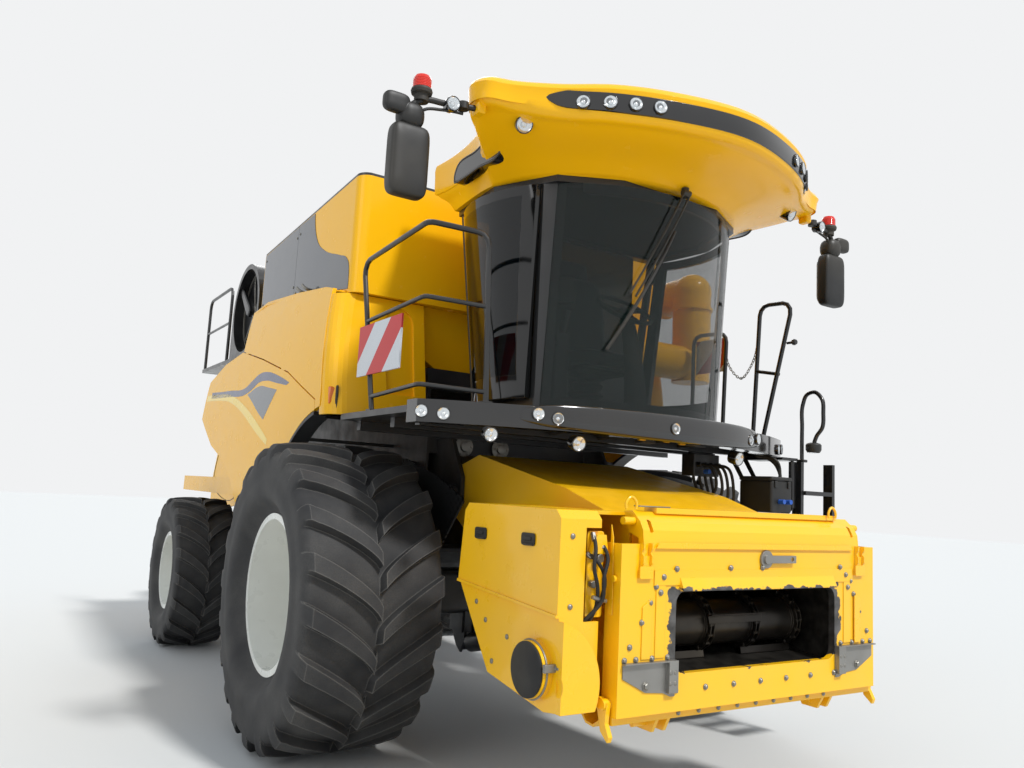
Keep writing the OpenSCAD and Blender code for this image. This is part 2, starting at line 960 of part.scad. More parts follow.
// skin from ring to ring, closed by a flat fan at both ends
module rings(g) {
    m = len(g[0]);
    k = len(g);
    polyhedron(
        points = [for (r = g) each r],
        faces = concat(
            [[for (i = [0 : m - 1]) i]],
            [[for (i = [0 : m - 1]) k * m - 1 - i]],
            [for (j = [0 : k - 2]) each band(j * m, (j + 1) * m, m)]
        ),
        convexity = 8
    );
}

module cab_roof() {
    n = len(roof_rim);
    color([0.98, 0.76, 0.08])
        machine() {
            rings([
                for (l = roof_layers)
                    concat(
                        [for (i = [0 : n - 1]) roof_pt(roof_rim[i], l[0], l[1], 1)],
                        [for (i = [n - 1 : -1 : 1]) roof_pt(roof_rim[i], l[0], l[1], -1)]
                    )
            ]);
            // feet for the mirror arms under the wings
            both()
                block([1375, -1580, 3790], [1430, -1500, 3870]);
        }
}

// half of the lamp strip on the roof's front: station, then how far it runs
lamp_x = [575, 707, 830, 950];
strip_y = [[0, -2250], [430, -2170], [800, -2015], [1074, -1810], [1290, -1690]];

// station of the roof rim at any x of its front
function rim_at(x) = [
    x, lookup(x, strip_y), lookup(x, [for (q = roof_rim) if (q[1] < -1650) [q[0], q[2]]]),
    lookup(x, [for (q = roof_rim) if (q[1] < -1650) [q[0], q[3]]]),
    lookup(x, [for (q = roof_rim) if (q[1] < -1650) [q[0], q[4]]])
];

module roof_lamps() {
    xs = [0, 430, 800, 1074];
    color([0.07, 0.07, 0.08])
        machine() {
            rings([
                for (k = [-3 : 3])
                    let (q = rim_at(xs[abs(k)]), s = k < 0 ? -1 : 1)
                    [
                        roof_pt(q, 3918, 0.9833 + 0.0012, s), roof_pt(q, 3918, 0.9833 + 0.018, s),
                        roof_pt(q, 3812, 0.9579 + 0.018, s), roof_pt(q, 3812, 0.9579 + 0.0012, s)
                    ]
            ]);
            both()
                for (x = lamp_x)
                    let (a = lookup(x, [[430, 22.7], [799, 22.7], [801, 36.8], [1074, 36.8]]),
                    q = rim_at(x))
                    translate(roof_pt(q, 3865, 0.985, 1))
                        rotate([90, 0, a])
                            cylinder(r = 42, h = 14);
        }
}

module mirrors() {
    color([0.08, 0.08, 0.09])
        machine()
            both() {
                block([1430 + eps, -1575, 3795], [1440, -1505, 3845]);
                tube(bent([[1435, -1540, 3821], [1780, -1490, 3790], [1790, -1480, 3600]], 60, 3), 18,
                [0, 0, 1]);
                // big mirror's housing
                translate([1790, -1480, 3435])
                    intersection() {
                        yprism(-60, 60)
                            rrect(225, 400, 70);
                        xprism(-120, 120)
                            rrect(110, 402, 45);
                    }
                // round housing above it and the small mirror beside that
                translate([1790, -1475, 3690])
                    sphere(r = 76);
                translate([1885, -1500, 3730])
                    intersection() {
                        yprism(-40, 40)
                            rrect(150, 110, 40);
                        xprism(-80, 80)
                            rrect(70, 112, 30);
                    }
                // foot of the beacon
                translate([1740, -1495, 3780])
                    cylinder(r = 42, h = 55);
            }
}

module beacons() {
    color([0.75, 0.10, 0.08])
        machine()
            both()
                translate([1740, -1495, 3835 + eps]) {
                    cylinder(r = 52, h = 70);
                    translate([0, 0, 69])
                        cylinder(r1 = 52, r2 = 36, h = 26);
                }
}

// columns: x and z of the lamps on the bumper
bumper_lamps = [[0, 2141], [790, 2135], [901, 2153], [1390, 2121], [1497, 2130]];

module front_lamps() {
    color([0.85, 0.87, 0.88])
        machine()
            for (q = bumper_lamps, s = [-1, 1])
                if (q[0] > 0 || s > 0)
                    translate([0, bumper_c, q[1]])
                        rotate([0, 0, s * asin(q[0] / bumper_r)])
                            translate([0, -bumper_r - eps, 0])
                                rotate([90, 0, 0])
                                    cylinder(r = 38, h = 16);
}

module wiper() {
    color([0.06, 0.06, 0.06])
        machine() {
            bar([0, -1745, 3595], [0, -1745, 3653], 18);
            bar([0, -1745, 3610], [-350, -1640, 2900], 9);
        }
}

module seat() {
    color([0.25, 0.25, 0.27])
        machine() {
            block([-120, -900, cab_floor + eps], [120, -700, 2560]);
            block([-270, -1080, 2560], [270, -620, 2700]);
            translate([-250, -650, 2690])
                rotate([8, 0, 0])
                    cube([500, 110, 620]);
        }
}

module console() {
    color([0.45, 0.46, 0.48])
        machine() {
            bar([0, -1330, cab_floor + 9], [0, -1200, 2950], 45);
            translate([0, -1190, 2960])
                rotate([35, 0, 0])
                    rotate_extrude()
                        translate([190, 0])
                            circle(r = 16);
            bar([-190, -1190, 2960], [190, -1190, 2960], 15);
            block([-420, -1000, cab_floor + eps], [-290, -640, 2780]);
        }
}

// Front platform

bumper_r = 2929;
bumper_c = 1260;

module bumper() {
    color([0.07, 0.07, 0.08])
        machine()
            intersection() {
                translate([0, bumper_c, 2065])
                    difference() {
                        cylinder(r = bumper_r, h = 135, $fn = 360);
                        translate([0, 0, -1])
                            cylinder(r = bumper_r - 110, h = 137, $fn = 360);
                    }
                block([-1520, -1700, 2070 + eps], [1520, -1100, 2250]);
            }
}

module platforms() {
    color([0.09, 0.09, 0.10])
        machine() {
            // floor plate behind the bumper, under the cab and beside it
            zprism(2130, 2170)
                intersection() {
                    translate([-1520, -1700])
                        square([3040, 1600]);
                    translate([0, bumper_c])
                        circle(r = bumper_r - 110 - eps, $fn = 360);
                }
            for (y = [-1050, -700, -160])
                block([-1400, y, 2070], [1400, y + 60, 2131]);
            both()
                block([500, -550, 2169], [560, -460, cab_floor - 80 - eps]);
            both()
                block([500, -1250, 2169], [560, -1150, cab_floor - 80 - eps]);
            // ladder pin with its bracket
            translate([1545, -1330, 1680])
                cylinder(r = 12, h = 380);
            translate([1545, -1330, 1680])
                cylinder(r = 14.5, h = 18);
            block([1400, -1360, 2046], [1570, -1000, 2066]);
            block([1400, -1110, 2065], [1510, -1000, 2131]);
        }
}

module handrails() {
    color([0.10, 0.10, 0.11])
        machine() {
            // right guard rail round the platform's corner, with its two lower rails
            tube(bent([
                [-1490, -540, 2175], [-1490, -240, 3190], [-1500, -1200, 3240], [-1200, -1385, 3180],
                [-1160, -1385, 2204]
            ], 80, 3), 17, [1, 0, 0]);
            tube(bent([[-1490, -364, 2770], [-1490, -1190, 2800], [-1183, -1385, 2754]], 60, 3), 14,
            [1, 0, 0]);
            tube(bent([[-1490, -514, 2262], [-1490, -1180, 2290], [-1164, -1385, 2262]], 60, 3), 14,
            [1, 0, 0]);
            block([-1515, -575, 2170 + eps], [-1460, -505, 2180]);
            block([-1190, -1412, 2200 + eps], [-1130, -1355, 2210]);
            // left guard rails
            tube(bent([
                [1490, -1000, 2174], [1490, -1060, 3260], [1490, -1370, 3240], [1490, -1090, 2175]
            ], 80, 3), 17, [1, 0, 0]);
            tube(bent([
                [1490, -345, 2174], [1490, -345, 3110], [1490, -715, 3090], [1490, -685, 2174]
            ], 80, 3), 17, [1, 0, 0]);
            block([1460, -1108, 2170 + eps], [1515, -965, 2180]);
            for (y = [-345, -685])
                block([1460, y - 35, 2170 + eps], [1515, y + 35, 2180]);
        }
}

module hazard_plates() {
    color([0.85, 0.2, 0.15])
        machine() {
            block([-1519, -960, 2400], [-1507 - eps, -320, 2730]);
            block([1507 + eps, -700, 2780], [1519, -360, 3060]);
        }
}

module ladder() {
    color([0.09, 0.09, 0.10])
        machine() {
            for (x = [1560, 1920])
                block([x, -1400, 560], [x + 30, -1320, 2040]);
            for (k = [0 : 4])
                block([1589, -1420, 600 + 300 * k], [1921, -1300, 630 + 300 * k]);
            translate([1545, -1330, 1700])
                difference() {
                    cylinder(r = 25, h = 340);
                    translate([0, 0, -1])
                        cylinder(r = 12.4, h = 342);
                }
        }
}

// Grain tank, hollow, with its hopper floor

module tank_box(o, z0) {
    intersection() {
        xprism(-tank_x + o, tank_x - o)
            polygon([
                [tank_y0 + o, z0], [tank_y0 + o, tank_top - 20], [tank_y1 - o, tank_top - tank_drop - 20],
                [tank_y1 - o, z0]
            ]);
        // rounded upright corners
        zprism(z0 - 1, tank_top + 40)
            translate([0, (tank_y0 + tank_y1) / 2])
                rrect(2 * (tank_x - o), tank_y1 - tank_y0 - 2 * o, tank_round - o);
    }
}

module tank_hopper(o) {
    yprism(tank_y0 + 110 + o, tank_y1 - o)
        polygon([
            [-tank_x + o + 60, tank_low + 10 + 2 * o], [-tank_x + o + 60, tank_low - 36],
            [-700 + o / 2, 2600 + eps + o], [700 - o / 2, 2600 + eps + o],
            [tank_x - o - 60, tank_low - 36], [tank_x - o - 60, tank_low + 10 + 2 * o]
        ]);
}

module grain_tank() {
    color([0.20, 0.24, 0.30])
        machine()
            difference() {
                union() {
                    tank_box(0, tank_low);
                    tank_hopper(0);
                }
                tank_box(sheet, tank_low + sheet);
                tank_hopper(sheet);
                translate([0, 0, 30])
                    tank_box(sheet, tank_low + 500);
            }
}

module tank_cover(s) {
    color([0.16, 0.17, 0.19])
        machine()
            intersection() {
                translate([0, tank_y0, tank_top - 20 + eps])
                    rotate([-atan(tank_drop / (tank_y1 - tank_y0)), 0, 0])
                        block([s > 0 ? 3 : -tank_x + 4, 2, 0], [s > 0 ? tank_x - 4 : -3,
                        tank_y1 - tank_y0 - 2, 20]);
                zprism(tank_top - tank_drop - 100, tank_top + 100)
                    translate([0, (tank_y0 + tank_y1) / 2])
                        rrect(2 * tank_x - 4, tank_y1 - tank_y0 - 4, tank_round);
            }
}

module tank_cover_right() {
    tank_cover(-1);
}

module tank_cover_left() {
    tank_cover(1);
}

// Shields inside the front wheels and the dark lips over them

module wheel_shields() {
    color([0.08, 0.08, 0.09])
        machine()
            both() {
                xprism(994, 1006)
                    polygon([
                        [-930, 1650], [-520, 1800], [-60, 1905], [300, 1930], [300, 1560], [-100, 1500],
                        [-650, 1330]
                    ]);
                block([body_x + eps, 90, 1700], [1000, 150, 1760]);
                block([body_x + eps, 210, 1840], [1000, 270, 1900]);
                intersection() {
                    xprism(panel_x - 130, panel_x)
                        translate([0, front_tyre_r])
                            difference() {
                                circle(r = 1232, $fn = 180);
                                circle(r = 1208, $fn = 180);
                            }
                    block([1400, 216, 1900], [1700, 800, 2300]);
                }
                block([body_x + eps, 230, 2158], [panel_x - 100, 260, 2184]);
                block([body_x + eps, 640, 2010], [panel_x - 100, 670, 2034]);
            }
}

// Side panels: a bulged shell cut to its outline

module side_shell(t) {
    intersection() {
        translate([shell_x, -400, shell_z])
            rotate([-90, 0, 0])
                difference() {
                    cylinder(r = shell_r, h = 4600, $fn = 360);
                    translate([0, 0, -1])
                        cylinder(r = shell_r - t, h = 4602, $fn = 360);
                }
        block([-1700, -400, 1000], [-1200, 4200, 3400]);
    }
}

// front edge of the hinged panel
panel_y0 = 216;

// seam between the fixed shoulder panel and the hinged one below it: y, z
seam = [[20, 2205], [560, 2405], [900, 2535], [1650, 2715], [2400, 2870], [2980, 2810], [3500, 2675]];

module side_panel(t) {
    intersection() {
        side_shell(t);
        xprism(-1700, -1200)
            difference() {
                polygon(concat([[panel_y0, lookup(panel_y0, seam)]],
                [for (i = [1 : len(seam) - 1]) seam[i]], [
                    [3650, 2300], [3190, 2020], [2790, 1890], [2470, 1690], [2300, 1420], [2100, 1280],
                    [600, 1280], [panel_y0, 1900]
                ]));
                translate([0, front_tyre_r])
                    circle(r = 1240, $fn = 180);
            }
    }
}

module side_panel_right() {
    color([1.0, 0.76, 0.08])
        machine()
            side_panel(30);
}

module side_panel_left() {
    color([1.0, 0.76, 0.08])
        machine()
            mirror([1, 0, 0])
                side_panel(30);
}

// front wall from the tank's middle part round its corner, in rings from below
// y0 foot of the wall, lean its set-back per height, x1 its inner edge
module corner_wall(y0, lean, x1) {
    r = 130;
    t = 30;
    rings([
        for (z = [2171, 2420, 2660, 2860, 2980, 3054])
            let (
                x = shell_r * cos(asin((z - shell_z) / shell_r)) - shell_x - 4,
                y = y0 + (z - 2171) * lean
            )
            concat(
                [[x1, y + t, z], [x1, y, z]],
                [for (a = [0 : 15 : 90]) [x - r + r * sin(a), y + r - r * cos(a), z]],
                [[x, y + 185, z], [x - t, y + 185, z]],
                [for (a = [90 : -15 : 0]) [x - r + (r - t) * sin(a), y + r - (r - t) * cos(a), z]]
            )
    ]);
}

module shoulder_side() {
    intersection() {
        side_shell(30);
        xprism(-1700, -1200) {
            polygon(concat([
                [110, 2230], [panel_y0 - gap, 2212], [panel_y0 - gap, lookup(panel_y0 - gap, seam) + 10]
            ], [for (i = [1 : 3]) seam[i] + [0, 10]], [
                [2370, 2874], [2400, 3255], [2000, 3297], [1100, 3220], [400, 3138], [236, 3100], [107,
                2336]
            ]));
            // hinge tabs down to the hinged panel's edge
            for (y = [1000, 2200])
                polygon([
                    [y, lookup(y, seam) + 0.8], [y + 90, lookup(y + 90, seam) + 0.8],
                    [y + 90, lookup(y + 90, seam) + 20], [y, lookup(y, seam) + 20]
                ]);
        }
    }
    // ledge between the shell's upper edge and the tank
    xprism(-1500, -tank_x - 1)
        polygon([
            [170, 3066], [400, 3104], [1100, 3186], [2000, 3263], [2390, 3225], [2390, 3237], [2000, 3275],
            [1100, 3198], [400, 3116], [170, 3078]
        ]);
    // struts that carry the panels on the threshing body
    for (y = [300, 1300, 2200]) {
        block([-1500, y, 2500], [-body_x - eps, y + 30, 2560]);
        block([-1500, y, 2500], [-1460, y + 30, 2960]);
        block([-1540, y, 2860], [-1460, y + 30, 2960]);
    }
}

module shoulder_panels() {
    color([1.0, 0.76, 0.08])
        machine() {
            both()
                shoulder_side();
            // right front wall with its arched recess
            mirror([1, 0, 0]) {
                difference() {
                    corner_wall(-63, 0.187, 860);
                    yprism(-200, 300)
                        recess(0);
                }
                difference() {
                    yprism(0, 165)
                        recess(8);
                    // cut along the wall's front and hollowed behind it
                    xprism(800, 1300)
                        polygon([[-63, 2100], [-63 + 20, 2171], [102 + 20, 3054], [102 - 400, 3500],
                        [-500, 2100]]);
                    xprism(930, 1190)
                        polygon([[-50, 2100], [-63 + 70, 2171], [102 + 50, 3054], [600, 3054], [600,
                        2100]]);
                }
            }
            corner_wall(2, 0.088, 1160);
        }
}

// outline of the recess beside the cab: x, z
module recess(o) {
    translate([1060, 2890])
        circle(r = 110 + o);
    translate([950 - o, 2350 - o])
        square([220 + 2 * o, 540 + o]);
}

// Unloading auger on the left side

turret = [1640, -160];

module auger_turret() {
    color([0.98, 0.76, 0.08])
        machine() {
            translate([turret[0], turret[1], 2740])
                cylinder(r = 165, h = 616 - eps);
            xcyl([850, turret[1], 2900], 150, turret[0] - 850);
            block([850, turret[1], 2760], [1150, tank_y0 + 110 - eps, 3040]);
        }
}

module unloading_auger() {
    color([0.98, 0.76, 0.08])
        machine() {
            translate([turret[0], turret[1], 3356])
                cylinder(r = 165, h = 190);
            translate([turret[0], turret[1], 3546])
                sphere(r = 168);
            bar([turret[0], turret[1], 3546], [1690, 5500, 3380], 155);
            bar([1690, 5450, 3380], [1700, 5760, 3250], 150);
        }
}

// Engine and what covers it

module engine_block() {
    color([0.3, 0.3, 0.3])
        machine()
            block([-350, 3050, deck_z + eps], [350, 4050, 3470]);
}

module engine_hood() {
    color([0.98, 0.76, 0.08])
        machine()
            difference() {
                xprism(-620, 1050)
                    polygon([
                        [2520, deck_z + eps], [2520, 3750], [3300, 3760], [4100, 3600], [4500, 3300],
                        [4560, deck_z + eps]
                    ]);
                xprism(-600, 1030)
                    polygon([
                        [2540, deck_z - 1], [2540, 3730], [3300, 3740], [4090, 3580], [4482, 3290],
                        [4540, deck_z - 1]
                    ]);
            }
}

module screen_housing() {
    color([0.07, 0.07, 0.08])
        machine()
            difference() {
                xprism(-1440, -body_x - 10 - eps)
                    union() {
                        translate([2960, 3380])
                            circle(r = 470, $fn = 96);
                        polygon([[2490, 2760], [2490, 3400], [3430, 3400], [3430, 2760]]);
                    }
                xprism(-1441, -1300)
                    translate([2960, 3380])
                        circle(r = 420, $fn = 96);
            }
}

// upright pipe with a hollow mouth that is cut aslant
module exhaust() {
    color([0.35, 0.33, 0.32])
        machine()
            translate([700, 4640, deck_z + eps])
                difference() {
                    cylinder(r = 70, h = 930);
                    translate([0, 0, 500])
                        cylinder(r = 64, h = 500);
                    beyond([0, 0, 840], [0, sin(40), cos(40)], 300);
                }
}

module deck_rails() {
    color([0.10, 0.10, 0.11])
        machine() {
            block([-1420, 3440, deck_z - 40 + eps], [-body_x, 4725, deck_z]);
            block([body_x, 2500, deck_z - 40 + eps], [1420, 4725, deck_z]);
            block([-body_x - 10, 2510, deck_z - 40 + eps], [body_x + 10, 4725, deck_z]);
            tube(bent([
                [-1400, 3700, deck_z - 2], [-1400, 3700, 3760], [-1400, 4680, 3760], [-1400, 4680,
                deck_z - 2]
            ], 90, 3), 17, [1, 0, 0]);
            tube([[-1400, 3700, 3370], [-1400, 4680, 3370]], 14, [1, 0, 0]);
        }
}

// Rear

module rear_hood() {
    color([0.98, 0.76, 0.08])
        machine() {
            difference() {
                xprism(-body_x, body_x)
                    polygon([
                        [4900 + eps, 1400], [4900 + eps, 2740], [5500, 2700], [6200, 2250],
                        [rear_reach - 10, 1700],
                        [rear_reach, 1350], [6000, 1290]
                    ]);
                xprism(-body_x + sheet, body_x - sheet)
                    polygon([
                        [4800, 1300], [4800, 2722], [5495, 2678], [6184, 2238], [rear_reach - 30, 1690],
                        [rear_reach - 20, 1200]
                    ]);
            }
            block([-body_x + 1, 5700, 1500], [body_x - 1, 5780, 1560]);
            // beams over the rear wheels
            both() {
                block([1200, 2900, rear_top], [1400, 5200, 1710]);
                block([body_x - 5, 5080, rear_top + 20], [1201, 5180, 1690]);
                block([body_x + eps, 3000, rear_top + 20], [1201, 3080, 1690]);
            }
            both()
                translate([450, 5740, 1212])
                    cylinder(r = 30, h = 300);
        }
}

module chopper_rotor() {
    color([0.25, 0.24, 0.23])
        machine() {
            xcyl([-740, 5400, 1850], 130, 1480);
            xcyl([-body_x + sheet + eps, 5400, 1850], 30, 2 * (body_x - sheet - eps));
            for (k = [0 : 10], a = [0, 180])
                translate([-704 + 140 * k, 5400, 1850])
                    rotate([a + 30 * k, 0, 0])
                        translate([0, -25, 100])
                            cube([8, 50, 150]);
        }
}

module spreader(s) {
    color([0.25, 0.24, 0.23])
        machine()
            translate([s * 450, 5740, 1200]) {
                cylinder(r = 370, h = 12 - eps);
                for (a = [0 : 60 : 300])
                    rotate([0, 0, a])
                        translate([120, -4, 11])
                            cube([240, 8, 60]);
            }
}

module spreader_right() {
    spreader(-1);
}

module spreader_left() {
    spreader(1);
}

chassis();
front_axle();
rear_axle();
tie_rod();
knuckle_right();
knuckle_left();
rim_front_right();
tyre_front_right();
rim_front_left();
tyre_front_left();
rim_rear_right();
tyre_rear_right();
rim_rear_left();
tyre_rear_left();
feeder_housing();
feeder_face();
wear_plates();
feeder_chains();
drive_cover();
lift_barrels();
lift_rods();
cab_frame();
cab_roof();
windscreen();
side_frame();
side_glass();
rear_window();
cab_door();
door_glass();
seat();
console();
roof_lamps();
front_lamps();
mirrors();
beacons();
wiper();
bumper();
platforms();
handrails();
hazard_plates();
ladder();
wheel_shields();
grain_tank();
tank_cover_right();
tank_cover_left();
shoulder_panels();
side_panel_right();
side_panel_left();
auger_turret();
unloading_auger();
engine_block();
engine_hood();
screen_housing();
exhaust();
deck_rails();
rear_hood();
chopper_rotor();
spreader_right();
spreader_left();
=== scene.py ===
import math

import bmesh
import bpy
import numpy as np
from mathutils import Matrix, Vector


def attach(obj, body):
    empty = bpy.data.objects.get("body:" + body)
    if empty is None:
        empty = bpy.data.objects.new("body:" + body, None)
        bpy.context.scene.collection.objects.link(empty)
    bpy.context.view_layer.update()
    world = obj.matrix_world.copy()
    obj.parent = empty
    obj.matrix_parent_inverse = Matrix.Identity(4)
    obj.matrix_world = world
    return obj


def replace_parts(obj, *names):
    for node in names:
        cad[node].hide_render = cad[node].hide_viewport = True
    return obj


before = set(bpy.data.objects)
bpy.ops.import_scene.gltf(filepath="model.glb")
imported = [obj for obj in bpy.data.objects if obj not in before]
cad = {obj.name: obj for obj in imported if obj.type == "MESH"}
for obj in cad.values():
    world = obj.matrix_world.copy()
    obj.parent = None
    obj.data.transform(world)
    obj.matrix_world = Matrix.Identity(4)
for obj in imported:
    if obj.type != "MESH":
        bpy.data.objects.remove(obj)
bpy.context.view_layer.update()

# The camera stands at the machine's right front corner at head height, as the photograph was taken:
# turned in towards the cab, looking a little up and held a little askew. Its place is measured from
# the front axle, which lies ahead of the origin.
AXLE_Y = -2.030
eye = Vector((-3.5555, AXLE_Y - 5.4116, 1.7029))
turned_in, looking_up, askew = 0.56725, 0.13033, 0.05231
ahead = Vector((
    math.sin(turned_in) * math.cos(looking_up),
    math.cos(turned_in) * math.cos(looking_up),
    math.sin(looking_up),
))
level = Vector((math.cos(turned_in), -math.sin(turned_in), 0.0))
right = math.cos(askew) * level + math.sin(askew) * level.cross(ahead)
upward = right.cross(ahead)
camera_data = bpy.data.cameras.new("camera")
camera_data.sensor_width = 36.0
camera_data.lens = 29.216
camera_data.clip_start, camera_data.clip_end = 0.05, 200.0
camera = bpy.data.objects.new("camera", camera_data)
camera.matrix_world = Matrix.Translation(eye) @ Matrix((right, upward, -ahead)).transposed().to_4x4()
bpy.context.scene.collection.objects.link(camera)
bpy.context.scene.camera = camera


# Pale floor and backdrop with plain soft light: a high main lamp in front, a weak one from the
# machine's right and another from behind on its left, and an even sky.
def linear(hex_colour, alpha=1.0):
    """An sRGB hex colour as the linear values that a shader socket takes."""
    rgb = [int(hex_colour[k:k + 2], 16) / 255 for k in (1, 3, 5)]
    return tuple(c / 12.92 if c <= 0.04045 else ((c + 0.055) / 1.055) ** 2.4 for c in rgb) + (alpha,)


def fill(tree, node, inputs):
    """Gives a node's inputs a plain value each, or joins them to another node's output."""
    for key, value in inputs.items():
        if isinstance(value, bpy.types.NodeSocket):
            tree.links.new(value, node.inputs[key])
        else:
            node.inputs[key].default_value = value


def add(tree, kind, inputs, **settings):
    """Adds one shader node with its settings and its inputs, and gives its outputs."""
    node = tree.nodes.new("ShaderNode" + kind)
    for key, value in settings.items():
        setattr(node, key, value)
    fill(tree, node, inputs)
    return node.outputs


def lamp(name, direction, strength, softness_deg):
    """A far lamp that shines from a direction."""
    data = bpy.data.lights.new(name, "SUN")
    data.energy = strength
    data.angle = math.radians(softness_deg)
    made = bpy.data.objects.new(name, data)
    made.rotation_mode = "QUATERNION"
    made.rotation_quaternion = Vector(direction).to_track_quat("Z", "Y")
    bpy.context.scene.collection.objects.link(made)


lamp("high_lamp", (0.22, -0.80, 1.0), 2.6, 6)
lamp("side_lamp", (-1.0, -0.35, 0.5), 0.35, 30)
lamp("back_lamp", (0.5, 0.9, 0.6), 0.7, 30)
world = bpy.data.worlds.new("studio")
world.use_nodes = True
bpy.context.scene.world = world
tree = world.node_tree
tree.nodes.clear()
seen = add(tree, "LightPath", {})
sky = add(tree, "Background", {"Color": linear("#DCE6F2"), "Strength": 0.72})
plain = add(tree, "Background", {"Color": linear("#F1F2F3"), "Strength": 1.0})
shows = seen["Is Camera Ray"]
for ray in ("Is Glossy Ray", "Is Transmission Ray"):
    shows = add(tree, "Math", {0: shows, 1: seen[ray]}, operation="MAXIMUM")[0]
either = add(tree, "MixShader", {0: shows, 1: sky[0], 2: plain[0]})
add(tree, "OutputWorld", {"Surface": either[0]})
bpy.context.scene.view_settings.view_transform = "Standard"

floor_mesh = bpy.data.meshes.new("floor")
reach = 60.0
floor_mesh.from_pydata(
    [(-reach, -reach, 0), (reach, -reach, 0), (reach, reach, 0), (-reach, reach, 0)], [], [(0, 1, 2, 3)]
)
floor = bpy.data.objects.new("floor", floor_mesh)
bpy.context.scene.collection.objects.link(floor)
concrete = bpy.data.materials.new("pale_floor")
concrete.use_nodes = True
tree = concrete.node_tree
fill(tree, tree.nodes["Principled BSDF"], {"Base Color": linear("#D2D2CF"), "Roughness": 0.9})
floor_mesh.materials.append(concrete)


# Yellow sheet metal: the panels, tank, hoods and auger are pressed steel or moulded plastic with a
# baked gloss enamel. It shows thin dust in patches, a slight ripple, and rounded pressed edges.
def surface(name):
    """A new material, its tree, its shader and the object coordinates that its patterns read."""
    made = bpy.data.materials.new(name)
    made.use_nodes = True
    tree = made.node_tree
    return made, tree, tree.nodes["Principled BSDF"], add(tree, "TexCoord", {})["Object"]


def enamel(
    name, hex_colour, hex_dust="#A99C82", rough=(0.22, 0.38), coat=0.5, dusty=0.1, metallic=0.0, specular=0.5
):
    """Baked enamel over steel: patches of thin dust change colour and gloss, a fine ripple bends the
    reflections, and edges are rounded over a few millimetres. Metallic turns it to plating or bare metal."""
    made, tree, shader, place = surface(name)
    patch = add(tree, "TexNoise", {"Vector": place, "Scale": 1.7, "Detail": 6.0})
    dust = add(tree, "MapRange", {"Value": patch["Fac"], "From Min": 0.42, "From Max": 0.75, "To Max": dusty})
    colour = add(tree, "Mix", {0: dust[0], 6: linear(hex_colour), 7: linear(hex_dust)}, data_type="RGBA")
    smear = add(tree, "TexNoise", {"Vector": place, "Scale": 9.0, "Detail": 4.0})
    gloss = add(tree, "MapRange", {
        "Value": smear["Fac"], "From Min": 0.35, "From Max": 0.7, "To Min": rough[0], "To Max": rough[1],
    })
    soft = add(tree, "Bevel", {"Radius": 0.004}, samples=4)
    wave = add(tree, "TexNoise", {"Vector": place, "Scale": 6.0, "Detail": 2.0})
    ripple = add(tree, "Bump", {"Height": wave["Fac"], "Normal": soft[0], "Strength": 0.04, "Distance": 0.01})
    fill(tree, shader, {
        "Base Color": colour[2], "Roughness": gloss[0], "Normal": ripple[0], "Metallic": metallic,
        "Specular IOR Level": specular, "Coat Weight": coat, "Coat Roughness": 0.08,
    })
    return made


def dress(material, *names):
    """Gives a finish to CAD nodes."""
    for name in names:
        mesh = cad[name].data
        mesh.materials.clear()
        mesh.materials.append(material)


yellow_enamel = enamel("yellow_enamel", "#FFBE0A", rough=(0.2, 0.28), coat=0.06, dusty=0.02, specular=0.3)
dress(
    yellow_enamel, "shoulder_panels", "side_panel_right", "side_panel_left", "grain_tank",
    "auger_turret", "unloading_auger", "engine_hood", "rear_hood",
)
# frames, rails and steps: black enamel, duller where boots and dust reach it
black_enamel = enamel("black_enamel", "#141517", "#3C3932", rough=(0.3, 0.45), coat=0.3, dusty=0.15)
dress(
    black_enamel, "cab_frame", "platforms", "handrails", "ladder", "tank_cover_right", "tank_cover_left",
    "screen_housing", "deck_rails", "lift_barrels",
)
# lamp covers and bumper: moulded plastic with a deep wet gloss
gloss_black = enamel("gloss_black_moulding", "#0B0B0D", rough=(0.1, 0.2), coat=0.8, dusty=0.02)
dress(gloss_black, "bumper")
# chassis and axles: castings and welded plate in near-black enamel that paints in the shade under the cab,
# matt with road dust; the hub caps and valve blocks wear it as their own dark paint
dark_enamel_and_painted_shade = enamel("chassis_painted_shade_enamel", "#1D1F22", "#5A5244", rough=(0.4, 0.6), coat=0.1, dusty=0.3)
dress(dark_enamel_and_painted_shade, "chassis", "front_axle", "rear_axle", "tie_rod", "knuckle_right", "knuckle_left")


# Tyres: black rubber with long curved lugs, moulded in one piece, whose ends run down the sidewalls.
# Each is pressed on its rim, so it stands for the solid tyre of the same place and size.
def grid(rows, columns, ring=False):
    """Quads of a grid of points kept row after row; a ring joins the last column to the first."""
    r, c = np.meshgrid(np.arange(rows - 1), np.arange(columns if ring else columns - 1), indexing="ij")
    a, b = r * columns + c, r * columns + (c + 1) % columns
    return np.stack([a, b, b + columns, a + columns], -1).reshape(-1, 4)


def piece(name, parts, material, body, sharp_deg=32.0):
    """One object from parts of points and faces laid out from the front axle: doubles are merged, faces
    turned outwards, and edges past an angle kept sharp."""
    mesh = bpy.data.meshes.new(name)
    starts = np.cumsum([0] + [len(part[0]) for part in parts])
    points = np.concatenate([part[0] for part in parts]) + (0, AXLE_Y, 0)
    faces = [
        face for part, start in zip(parts, starts) for block in part[1:]
        for face in (np.asarray(block) + start).tolist()
    ]
    mesh.from_pydata(points.tolist(), [], faces)
    work = bmesh.new()
    work.from_mesh(mesh)
    bmesh.ops.remove_doubles(work, verts=work.verts, dist=1e-5)
    bmesh.ops.dissolve_degenerate(work, edges=work.edges, dist=1e-6)
    bmesh.ops.recalc_face_normals(work, faces=work.faces)
    work.to_mesh(mesh)
    work.free()
    mesh.polygons.foreach_set("use_smooth", np.ones(len(mesh.polygons), bool))
    mesh.set_sharp_from_angle(angle=math.radians(sharp_deg))
    mesh.materials.append(material)
    made = bpy.data.objects.new(name, mesh)
    bpy.context.scene.collection.objects.link(made)
    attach(made, body)
    return made


